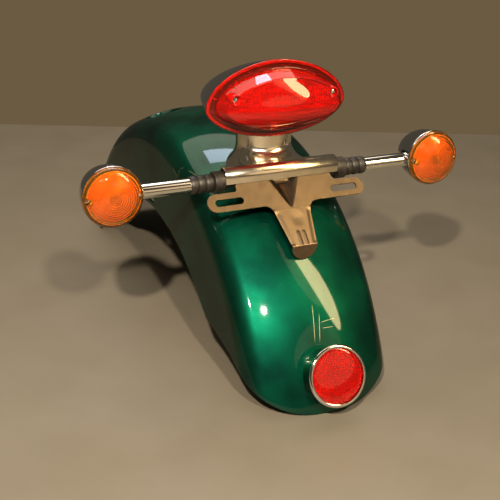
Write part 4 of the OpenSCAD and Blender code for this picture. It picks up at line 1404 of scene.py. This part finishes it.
@dataclass(frozen=True)
class Signal:
    """A turn signal: bullet body with a beaded rim, domed amber lens and what is inside."""

    side: Side
    x: float = 204.0
    r: float = 34.3
    length: float = 52.0
    bead: float = 2.2
    dome: float = 15.0
    power: float = 0.8
    sheet: float = 1.6
    lens_t: float = 2.2
    aim: float = 3.0
    rim_l: float = 9.0
    screw_x: float = 28.2
    screw_r: float = 1.9
    recess_r: float = 3.7
    stem_bore_r: float = 8.6
    stem_x: float = 112.0
    lens_y: float = -50.0
    lens_z: float = 6.7
    dish_r: float = 28.5
    dish_h: float = 9.5
    ball_r: float = 31.0
    ring_mm: float = 3.1
    ring_h: float = 0.8

    @property
    def place(self) -> Place:
        """The place of the lens's rim, whose Z points out of the lens.

        Returns:
            The place.
        """
        a = math.radians(90.0 - self.aim)
        origin = seat_place(self.side.value * self.x, self.lens_y, self.lens_z).origin
        y = (0.0, math.cos(a), math.sin(a))
        return Place(origin, (1.0, 0.0, 0.0), y, (0.0, -math.sin(a), math.cos(a)))

    def shell(self) -> None:
        """The body: a bullet whose radius falls as cos^0.8, and a round bead at its rim."""
        r = self.r - self.bead
        depth = self.length - self.rim_l
        a = np.radians(np.linspace(0.0, 90.0, 48))
        bow = np.cos(a) ** self.power
        outer = np.column_stack([r * bow, -self.rim_l - depth * np.sin(a)])
        inner = np.column_stack(
            [(r - self.sheet) * bow, -self.rim_l - (depth - self.sheet) * np.sin(a)]
        )
        outer[-1, 0] = inner[-1, 0] = 0.0
        bead = arc((r, -self.bead), self.bead, -80.0, 180.0, 24)[::-1]
        bead[:, 0] = np.maximum(bead[:, 0], r - self.sheet + 0.12)
        profile = np.concatenate([inner[::-1], bead, outer])
        name = f"signal body {self.side.word}"
        piece = turned(self.place, profile, 128).piece(name, CHROME, 45.0)
        stem = seat_place(self.side.value * self.stem_x, STEM_Y, STEM_Z)
        axis = Place(stem.origin, Y_AXIS, Z_AXIS, (float(self.side.value), 0.0, 0.0))
        cut(piece, [cylinder(axis, self.stem_bore_r, 20.0, 92.0)], CHROME, 45.0)
        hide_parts(f"signal_body_{self.side.word}")

    def lens(self) -> None:
        """The lens: a smooth dome outside and rings inside, with pockets for the screws."""
        r = self.r - 0.5
        a = np.radians(np.linspace(0.0, 90.0, 60))
        rise = 0.3 + (self.dome - 0.3) * np.sin(a)
        outer = np.column_stack([r * np.cos(a) ** self.power, rise])
        b = np.radians(np.linspace(90.0, 0.0, 220))
        bore = self.r - self.bead - self.sheet - 0.1 - self.lens_t
        wave = 0.45 * np.abs(np.sin(math.pi * bore * np.cos(b) / 2.6))
        inner = np.column_stack([bore * np.cos(b), (self.dome - self.lens_t - wave) * np.sin(b)])
        outer[-1, 0] = inner[0, 0] = 0.0
        plug = self.r - self.bead - self.sheet - 0.1
        foot = [[r, 0.2], [plug, 0.2], [plug, -2.0], [plug - self.lens_t, -2.0]]
        profile = np.concatenate([outer[::-1], foot, inner[::-1]])
        name = f"signal lens {self.side.word}"
        piece = turned(self.place, profile, 128).piece(name, AMBER_LENS, 25.0)
        bore, recess = self.screw_r, self.recess_r
        line = np.array([
            [0.0, -4.0], [bore, -4.0], [bore, 3.2], [recess, 3.2], [recess, 20.0], [0.0, 20.0]
        ])
        tools = []
        for x in (-self.screw_x, self.screw_x):
            origin = self.place.put(np.array([x, 0.0, 0.0]))
            tools.append(turned(replace(self.place, origin=tuple(origin)), line, 40))
        cut(piece, tools, AMBER_LENS, 25.0)
        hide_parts(f"signal_lens_{self.side.word}")

    def optic(self) -> None:
        """The prism dish in front of the bulb: a saw tooth round a flattened ball."""
        r = np.linspace(0.0, self.dish_r, 240)
        ball = self.dish_h * np.sqrt(np.maximum(0.0, 1 - (r / self.ball_r) ** 2))
        z = ball - 1.0 - self.ring_h * np.mod(r / self.ring_mm, 1.0)
        front = np.column_stack([r, z])
        back = front[::-1].copy()
        back[:, 1] -= 0.7
        body = turned(self.place, np.concatenate([front, back]), 96)
        body.piece(f"signal rings {self.side.word}", AMBER_OPTIC, 20.0)

    def build(self) -> None:
        """Makes the signal and dresses what is inside."""
        self.shell()
        self.lens()
        self.optic()
        dress(RUBBER, f"signal_gasket_{self.side.word}")
        dress(ZINC, f"signal_holder_{self.side.word}")
        dress(GLASS, f"signal_bulb_{self.side.word}")


@dataclass(frozen=True)
class Stem:
    """A stem: the chromed tube and the rubber boot with its collar and three rings."""

    side: Side
    tube_r: float = 8.5
    boot_x: float = 112.0
    cover_x: float = 72.0
    core_x: float = 57.0
    collar_r: float = 12.7
    collar_l: float = 13.0
    bulge: float = 1.2
    overlap: float = 9.0

    @property
    def place(self) -> Place:
        """The stem's axis, whose Z points away from the middle."""
        origin = seat_place(0.0, STEM_Y, STEM_Z).origin
        return Place(origin, Y_AXIS, Z_AXIS, (float(self.side.value), 0.0, 0.0))

    def build(self) -> None:
        """Makes tube and boot."""
        word = self.side.word
        start = self.boot_x - self.overlap
        end = Signal.x - (Signal.r - Signal.bead) + Signal.sheet
        line = np.array([
            [self.tube_r, start], [self.tube_r, end], [self.tube_r - 1.5, end],
            [self.tube_r - 1.5, start], [self.tube_r, start],
        ])
        tube = turned(self.place, line, 96).piece(f"stem tube {word}", CHROME)
        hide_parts(f"stem_tube_{word}")
        x = self.cover_x
        collar = np.array([
            [4.0, self.core_x], [self.tube_r, self.core_x], [self.tube_r, x], [self.collar_r, x],
            [self.collar_r, x + self.collar_l - 1.0], [self.collar_r - 2.5, x + self.collar_l],
            [self.tube_r + 1.0, x + self.collar_l],
        ])
        first = x + self.collar_l
        u = np.linspace(0.0, 3.0, 73)
        rings = np.column_stack([
            self.tube_r + 1.0 + self.bulge * np.abs(np.sin(math.pi * u)) ** 0.7,
            first + (self.boot_x - first) * u / 3.0,
        ])
        tail = np.array([
            [self.tube_r + 0.1, self.boot_x], [self.tube_r + 0.1, start], [4.0, start],
            [4.0, self.core_x],
        ])
        profile = np.concatenate([rounded(collar, 1.2), rings[1:], tail])
        boot = turned(self.place, profile, 128).piece(f"stem boot {word}", RUBBER)
        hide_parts(f"stem_boot_{word}")


@dataclass(frozen=True)
class RoundReflector:
    """The round reflector on the tail: plated cup, beaded ring and a lens in two halves."""

    angle: float = 22.8
    r: float = 35.0
    depth: float = 25.0
    foot_r: float = 31.0
    bead: float = 2.5
    seat: float = 3.0
    crown: float = 3.0
    prism_mm: float = 3.0
    prism_h: float = 1.1
    ridge_h: float = 0.9
    slant: float = 0.045
    ridge_x: float = -3.0

    @property
    def place(self) -> Place:
        """The place on the skin under the cup."""
        return SKIN.place(0.0, self.angle)

    def cup(self) -> None:
        """The cup, a drawn shell, and the bright bead round its mouth."""
        ring = self.r - self.bead
        top = self.depth - self.bead
        bead = arc((ring, top), self.bead, -120.0, 170.0, 28)
        bead[:, 0] = np.maximum(bead[:, 0], ring - self.bead / 2 + 0.12)
        hoop = turned(self.place, np.concatenate([bead, bead[:1]]), 160)
        hoop.piece("reflector ring", CHROME, 50.0)
        foot = self.foot_r
        path = np.array([
            [foot - 1.5, -1.6], [foot - 0.2, -2.4], [foot, 5.0], [ring - 1.2, top - 2.2],
            [ring - 1.25, top - 1.2],
        ])
        inside = np.array([[ring - 1.4, top - self.seat], [foot - 1.4, 5.0], [foot - 1.5, -1.6]])
        profile = np.concatenate([rounded(path, 4.0, 8), inside])
        # The cup takes the darkened chrome: painted reflection of dark surroundings.
        piece = turned(self.place, profile, 160).piece("reflector cup", CHROME_PAINTED_DARK_REFLECTION, 50.0)
        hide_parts("reflex_cup")

    def lens(self) -> None:
        """The lens: a low dome over small pyramids, parted by an upright line."""
        r = self.r - self.bead * 1.5
        low = self.depth - self.bead - self.seat
        a = np.radians(np.linspace(90.0, 0.0, 24))
        dome = np.column_stack([r * np.cos(a), low + self.seat + self.crown * np.sin(a)])
        dome[0, 0] = 0.0
        stud = np.array([[r, low], [3.0, low], [3.0, -12.0], [0.0, -12.0]])
        body = turned(self.place, np.concatenate([dome, stud]), 128)
        piece = body.piece("reflector lens", RED_LENS, 30.0)
        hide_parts("reflex_lens")

    def optic(self) -> None:
        """The pyramids under the dome, in two halves parted by an upright ridge.

        A point is (u w(y), y, h) with w the half width of the disc at y; h adds two zigzags,
        the ridge, and a slant left of the ridge.
        """
        r = self.r - self.bead * 1.5 - 0.7
        y = np.linspace(-r * 0.995, r * 0.995, 200)
        half = np.sqrt(r**2 - y**2)
        x = half[:, None] * np.linspace(-1.0, 1.0, 200)[None, :]
        y = np.broadcast_to(y[:, None], x.shape)
        first, second = (
            np.abs(np.mod(along / self.prism_mm, 1.0) - 0.5) for along in (x + y, x - y)
        )
        part = self.ridge_x
        ridge = smooth_step((1.0 - np.abs(x - part)) / 0.5)
        slant = self.slant * np.where(x < part, x - part, 0.0)
        low = self.depth - self.bead - self.seat + 1.0
        crown = self.crown * (1 - (np.hypot(x, y) / r) ** 2)
        prisms = (first + second) * self.prism_h * (1 - ridge)
        h = low + self.seat - 2.0 + crown + prisms + self.ridge_h * ridge + slant
        sheet = np.stack([x, y, h], axis=-1)
        back = sheet.copy()
        back[..., 2] = low
        slab(self.place, sheet, back).piece("reflector pyramids", RED_OPTIC, 20.0)

    def build(self) -> None:
        """Makes cup, lens and pyramids and dresses the fasteners."""
        self.cup()
        self.lens()
        self.optic()
        dress(ZINC, "reflex_washer", "reflex_nut")


@dataclass(frozen=True)
class PlateBracket:
    """The pressed number-plate bracket: plate with tabs and slots, valley, leg and tip."""

    sheet_t: float = 2.0
    plate_lean: float = 43.0
    leg_lean: float = 49.0
    top_y: float = -48.9
    top_z: float = 3.9
    bend_v: float = 38.5
    leg_l: float = 46.0
    plate_x: float = 99.7
    top_x: float = 61.0
    step: float = 9.3
    plate_h: float = 31.0
    leg_top_x: float = 23.0
    leg_end_x: float = 15.5
    slot_v: float = 20.3
    slot_apart: float = 146.0
    slot_l: float = 35.0
    slot_w: float = 8.5
    valley_x: float = 17.4
    valley_v: float = 36.0
    valley_d: float = 8.6
    flank_d: float = 0.7
    dent_d: float = 0.4
    leg_ribs: tuple[float, float] = (-3.2, 3.8)
    leg_rib_h: float = 0.7
    leg_rib_v: float = 27.0
    tip_fold: float = 55.0
    tongue_half: tuple[float, float] = (13.0, 7.5)
    tongue_y: float = -39.3
    bolt_x: float = 7.5
    bolt_y: float = -38.0
    bolt_r: float = 2.8
    corner: float = 4.0

    def plane(self, y: float, z: float, lean: float) -> Place:
        """A leaning plane whose X runs across, whose Y runs up it and whose Z looks back.

        Args:
            y: Distance forward of the foot's middle.
            z: Height over it.
            lean: Lean in degrees.

        Returns:
            The plane.
        """
        a = math.radians(lean)
        origin = seat_place(0.0, y, z).origin
        up = (0.0, math.sin(a), math.cos(a))
        return Place(origin, (1.0, 0.0, 0.0), up, (0.0, -math.cos(a), math.sin(a)))

    @property
    def plate_place(self) -> Place:
        """The plate's rear face at the middle of its upper edge."""
        return self.plane(self.top_y, self.top_z, self.plate_lean)

    @property
    def leg_place(self) -> Place:
        """The leg's rear face at the bend.

        Returns:
            The place.
        """
        a = math.radians(self.plate_lean)
        y = self.top_y - self.bend_v * math.sin(a)
        return self.plane(y, self.top_z - self.bend_v * math.cos(a), self.leg_lean)

    def outline(self) -> Array:
        """The plate's outline, half and mirrored, with rounded corners.

        Returns:
            Points as an (n, 2) array.
        """
        end_r = (self.plate_h - self.step) / 2
        end = arc((self.plate_x - end_r, -self.step - end_r), end_r, 90.0, -90.0, 17)
        neck = self.plate_x - 15.0
        inner = np.array([
            [0.0, 0.4], [self.top_x, 0.4], [self.top_x, -self.step], [neck, -self.step]
        ])
        lower = np.array([
            [neck, -self.plate_h], [self.leg_top_x + 5.0, -self.plate_h],
            [self.leg_top_x, -self.bend_v], [0.0, -self.bend_v],
        ])
        half = np.concatenate([
            rounded(inner, self.corner, 6), end[1:-1], rounded(lower, 7.0, 8)
        ])
        mirror = half[::-1].copy()
        mirror[:, 0] *= -1
        return np.concatenate([half[:-1], mirror[:-1]])

    def pressed(self, x: Array, v: Array) -> Array:
        """How deep the valley is pressed at x across and v down the plate.

        Args:
            x: Distances across.
            v: Distances down.

        Returns:
            Heights, below zero in the valley.
        """
        fall = np.clip(1.0 - v / self.valley_v, 0.0, 1.0)
        top, floor = self.valley_x * fall + 2.2, 3.0 * fall
        share = smooth_step((top - np.abs(x)) / np.maximum(top - floor, 1e-6))
        return -self.valley_d * fall * share

    def sheet(self, place: Place, x: Array, v: Array, rise: Array) -> Surface:
        """A sheet of even thickness over a grid of x and v, raised from its place.

        Args:
            place: Place of the sheet.
            x: Distances across.
            v: Distances down.
            rise: Heights of its outer face.

        Returns:
            The body.
        """
        top = np.stack([x, -v, rise], axis=-1)
        low = top.copy()
        low[..., 2] -= self.sheet_t
        return slab(place, top, low)

    def plate(self) -> None:
        """The plate: a pressed sheet trimmed to its outline, with its two slots."""
        inner = np.linspace(-24.0, 24.0, 97)
        outer = np.linspace(24.0, self.plate_x + 2.0, 12)[1:]
        columns = np.concatenate([-outer[::-1], inner, outer])
        v = np.linspace(0.0, self.bend_v, 60)
        x, down = np.meshgrid(columns, v)
        place = self.plate_place
        body = self.sheet(place, x, down, self.pressed(x, down))
        # The plate takes the darker copy of the stainless: painted shade.
        piece = body.piece("plate bracket", STAINLESS_PAINTED_SHADE, 35.0)
        tools = [self.frame_tool(self.outline())]
        for side in Side:
            hole = place.put(np.array([side.value * self.slot_apart / 2, -self.slot_v, 0.0]))
            across = Place(tuple(hole), place.y, tuple(-np.array(place.x)), place.z)
            tools.append(slot_prism(across, self.slot_l, self.slot_w, -4.0, 4.0))
        cut(piece, tools, STAINLESS_PAINTED_SHADE, 35.0)
        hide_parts("plate_bracket")

    def frame_tool(self, line: Array) -> Surface:
        """A thick frame round the outline, which cuts away what lies outside it.

        Args:
            line: Outline as an (n, 2) array.

        Returns:
            The body.
        """
        wide = np.array([140.0, 70.0])
        angle = np.arctan2(line[:, 1] + 18.0, line[:, 0])
        far = np.stack([wide[0] * np.cos(angle), wide[1] * np.sin(angle) - 18.0], axis=-1)
        levels = [(line, 16.0), (far, 16.0), (far, -16.0), (line, -16.0), (line, 16.0)]
        rows = [np.column_stack([points, np.full(len(points), h)]) for points, h in levels]
        return ringed(self.plate_place, np.array(rows))

    def leg(self) -> None:
        """The leg with its pressed sides, dent and ribs, up to the fold."""
        v = np.linspace(-0.6, self.leg_l, 90)
        share = np.clip(v / self.leg_l, 0.0, 1.0)
        half = self.leg_top_x + (self.leg_end_x - self.leg_top_x) * share
        u = np.linspace(-1.0, 1.0, 61)
        x = half[:, None] * u
        down = np.broadcast_to(v[:, None], x.shape)
        side = -self.flank_d * smooth_step((np.abs(x) - half[:, None] + 6.5) / 5.0)
        side *= smooth_step(down / 5.0) * smooth_step((self.leg_l + 1.0 - down) / 4.0)
        away = np.hypot((x - 2.0) / 11.0, (down - 12.0) / 13.0)
        dent = -self.dent_d * smooth_step(1.0 - away)
        start = smooth_step((down - self.leg_rib_v) / 4.0)
        ribs = sum(
            self.leg_rib_h * smooth_step(1.0 - np.abs(x - c) / 2.6) * start
            for c in self.leg_ribs
        )
        body = self.sheet(self.leg_place, x, down, side + dent + ribs)
        # The leg takes the lighter copy of the stainless: painted reflection.
        body.piece("plate bracket leg", STAINLESS_PAINTED_REFLECTION, 35.0)

    def tip(self) -> None:
        """The rounded tip: a bend about the sheet's inner edge, then a half disc."""
        t = self.sheet_t
        bend = np.radians(np.linspace(0.0, self.tip_fold, 9))
        rows = [(0.0, a, self.leg_end_x) for a in bend]
        last = math.radians(self.tip_fold)
        rows.append((1.0, last, self.leg_end_x))
        turn = np.radians(np.linspace(0.0, 88.0, 22))[1:]
        r = self.leg_end_x
        rows += [(1.0 + r * math.sin(b), last, r * math.cos(b)) for b in turn]
        u = np.linspace(-1.0, 1.0, 41)
        faces = []
        for g in (t, 0.0):
            lines = [
                np.column_stack([
                    half * u,
                    np.full_like(u, -self.leg_l - d * math.cos(a) - g * math.sin(a)),
                    np.full_like(u, -t - d * math.sin(a) + g * math.cos(a)),
                ])
                for d, a, half in rows
            ]
            faces.append(np.array(lines))
        slab(self.leg_place, *faces).piece("plate bracket tip", STAINLESS_PAINTED_REFLECTION, 35.0)

    def tongue(self) -> None:
        """The tongue under the casting's boss, with its two bolt holes."""
        seat = seat_place(0.0, 0.0, 0.0)
        body = prism(seat, soft_square(0.15) * self.tongue_half, -2.6, -0.6, (0.0, self.tongue_y))
        piece = body.piece("plate bracket tongue", STAINLESS_PAINTED_REFLECTION)
        bolts = [seat_place(k * self.bolt_x, self.bolt_y, 0.0) for k in (-1.0, 1.0)]
        tools = [cylinder(bolt, self.bolt_r, -5.0, 3.0) for bolt in bolts]
        cut(piece, tools, STAINLESS_PAINTED_REFLECTION)

    def build(self) -> None:
        """Makes the bracket's pieces, which stand for one pressed sheet."""
        self.plate()
        self.leg()
        self.tip()
        self.tongue()


def dress_fasteners() -> None:
    """Dresses the nodes that stay as the solids made them."""
    dress(RUBBER, "pedestal_gasket")
    dress(ZINC, "pedestal_bolts", "pedestal_washers", "bracket_bolts")
    dress(ZINC, "stem_studs", "stem_washers", "stem_nuts")
    dress(CHROME, "signal_lens_screws")


@dataclass(frozen=True)
class PaleTable(Finish):
    """The table top the part lies on: two close tones and a little shine."""

    colour: str = "#787061"
    shade: str = "#726a5a"
    gloss: float = 0.55

    def lay(self, nodes: Shading) -> None:
        """A cloud of two close tones over an even roughness.

        Args:
            nodes: Nodes of the material.
        """
        tone = nodes.ramp(nodes.noise(90.0, 4.0), 0.3, 0.7)
        nodes.set({
            "Base Color": nodes.blend(tone, linear(self.shade), linear(self.colour)),
            "Roughness": self.gloss,
        })


@dataclass(frozen=True)
class Lamp:
    """A soft lamp: where it stands and looks, its size in millimetres, power and colour.

    A mirrored lamp is seen only in reflections and through glass, as a reflecting card is.
    """

    name: str
    at: Point
    to: Point
    size: tuple[float, float]
    watts: float
    colour: str
    shape: str = "ELLIPSE"
    mirrored: bool = False


@dataclass(frozen=True)
class Studio:
    """Table, soft lamps and the camera that the photograph was matched with."""

    lens_mm: float = 68.4
    sensor_mm: float = 36.0
    eye: Point = (-474.6, -1094.6, 598.4)
    yaw: float = 25.28
    pitch: float = 24.0
    roll: float = 2.0
    wall: str = "#6a5b42"
    wall_ends: tuple[tuple[float, float], tuple[float, float]] = ((-130.0, 911.0), (870.0, 493.0))
    world: str = "#9a8f80"
    world_light: float = 0.24
    lamps: tuple[Lamp, ...] = (
        Lamp("key", (-720.0, -1250.0, 1220.0), (0.0, -100.0, 180.0), (60.0, 60.0), 38.0,
             "#fff0dc"),
        Lamp("second", (-330.0, -1440.0, 1200.0), (0.0, -100.0, 180.0), (80.0, 80.0), 24.0,
             "#fff0dc"),
        Lamp("strip", (965.0, -1240.0, 1340.0), (10.0, -260.0, 115.0), (330.0, 1500.0), 26.0,
             "#ffe2a6", mirrored=True),
        Lamp("blue", (161.0, 680.0, 1507.0), (-41.0, -87.0, 235.0), (420.0, 260.0), 4.0,
             "#d3e6ff", "RECTANGLE", True),
        Lamp("room", (950.0, -2500.0, 850.0), (0.0, -200.0, 200.0), (1700.0, 1200.0), 4.0,
             "#ffd9a8", mirrored=True),
        Lamp("card", (702.0, -1140.0, 1567.0), (0.0, -162.0, 230.0), (500.0, 1200.0), 2.0,
             "#ffdcb4", mirrored=True),
        Lamp("ceiling", (100.0, 700.0, 1500.0), (100.0, 700.0, 0.0), (2000.0, 1400.0), 14.0,
             "#fff0dc"),
    )

    def camera(self) -> None:
        """Places the camera by its yaw, pitch and roll."""
        data = bpy.data.cameras.new("camera")
        data.lens = self.lens_mm
        data.sensor_width = self.sensor_mm
        data.clip_end = 20.0
        eye = bpy.data.objects.new("camera", data)
        bpy.context.scene.collection.objects.link(eye)
        yaw, pitch, roll = (math.radians(v) for v in (self.yaw, self.pitch, self.roll))
        forward = np.array([
            math.sin(yaw) * math.cos(pitch), math.cos(yaw) * math.cos(pitch), -math.sin(pitch)
        ])
        right = np.array([math.cos(yaw), -math.sin(yaw), 0.0])
        up = np.cross(right, forward)
        right, up = (
            math.cos(roll) * right + math.sin(roll) * up,
            math.cos(roll) * up - math.sin(roll) * right,
        )
        matrix = Matrix(np.column_stack([right, up, -forward]).tolist()).to_4x4()
        matrix.translation = Vector(self.eye) * MM
        eye.matrix_world = matrix
        bpy.context.scene.camera = eye

    def lights(self) -> None:
        """Adds the lamps and an even pale world, seen by the camera in the wall's colour."""
        for lamp in self.lamps:
            data = bpy.data.lights.new(lamp.name, "AREA")
            data.shape = lamp.shape
            data.size, data.size_y = (v * MM for v in lamp.size)
            data.energy = lamp.watts
            data.color = linear(lamp.colour)[:3]
            light = bpy.data.objects.new(lamp.name, data)
            light.visible_diffuse = not lamp.mirrored
            bpy.context.scene.collection.objects.link(light)
            light.location = Vector(lamp.at) * MM
            way = Vector(lamp.to) - Vector(lamp.at)
            light.rotation_euler = way.to_track_quat("-Z", "Y").to_euler()
        world = bpy.data.worlds.new("studio")
        world.use_nodes = True
        tree = world.node_tree
        light = tree.nodes["Background"]
        light.inputs["Color"].default_value = linear(self.world)
        light.inputs["Strength"].default_value = self.world_light
        # The camera sees the wall's colour where the table ends
        seen = add_node(
            tree, "ShaderNodeBackground", values={"Color": linear(self.wall), "Strength": 1.0}
        )
        ray = add_node(tree, "ShaderNodeLightPath").outputs["Is Camera Ray"]
        mixed = add_node(
            tree, "ShaderNodeMixShader", links={0: ray, 1: light.outputs[0], 2: seen.outputs[0]}
        )
        tree.links.new(mixed.outputs[0], tree.nodes["World Output"].inputs["Surface"])
        bpy.context.scene.world = world

    def backdrop(self) -> None:
        """Adds the table, whose far edge is the line at which the photographed wall begins."""
        (x0, y0), (x1, y1) = self.wall_ends
        ends = [(x0 + k * (x1 - x0), y0 + k * (y1 - y0)) for k in (-4.0, 5.0)]
        front = [(x - 2200.2, y - 5261.1) for x, y in ends]
        points = [(*front[0], 0.0), (*front[1], 0.0), (*ends[1], 0.0), (*ends[0], 0.0)]
        mesh = bpy.data.meshes.new("table")
        mesh.from_pydata([tuple(c * MM for c in p) for p in points], [], [(0, 1, 2, 3)])
        mesh.materials.append(PaleTable("pale table", "").material())
        sheet = bpy.data.objects.new("table", mesh)
        bpy.context.scene.collection.objects.link(sheet)

    def build(self) -> None:
        """Sets the whole studio."""
        self.backdrop()
        self.lights()
        self.camera()
        bpy.context.scene.view_settings.view_transform = "Standard"


def main() -> None:
    """Builds every sub-assembly in order, then the studio, and logs each one."""
    logging.basicConfig(level=logging.INFO, format="%(message)s")
    FenderSheet().build()
    LOG.info("fender")
    Pedestal().build()
    LOG.info("pedestal")
    PlateBracket().build()
    LOG.info("plate bracket")
    TailLamp().build()
    LOG.info("tail lamp")
    for side in Side:
        Signal(side).build()
        Stem(side).build()
        LOG.info("signal and stem %s", side.word)
    RoundReflector().build()
    LOG.info("round reflector")
    dress_fasteners()
    Studio().build()


if __name__ == "__main__":
    main()
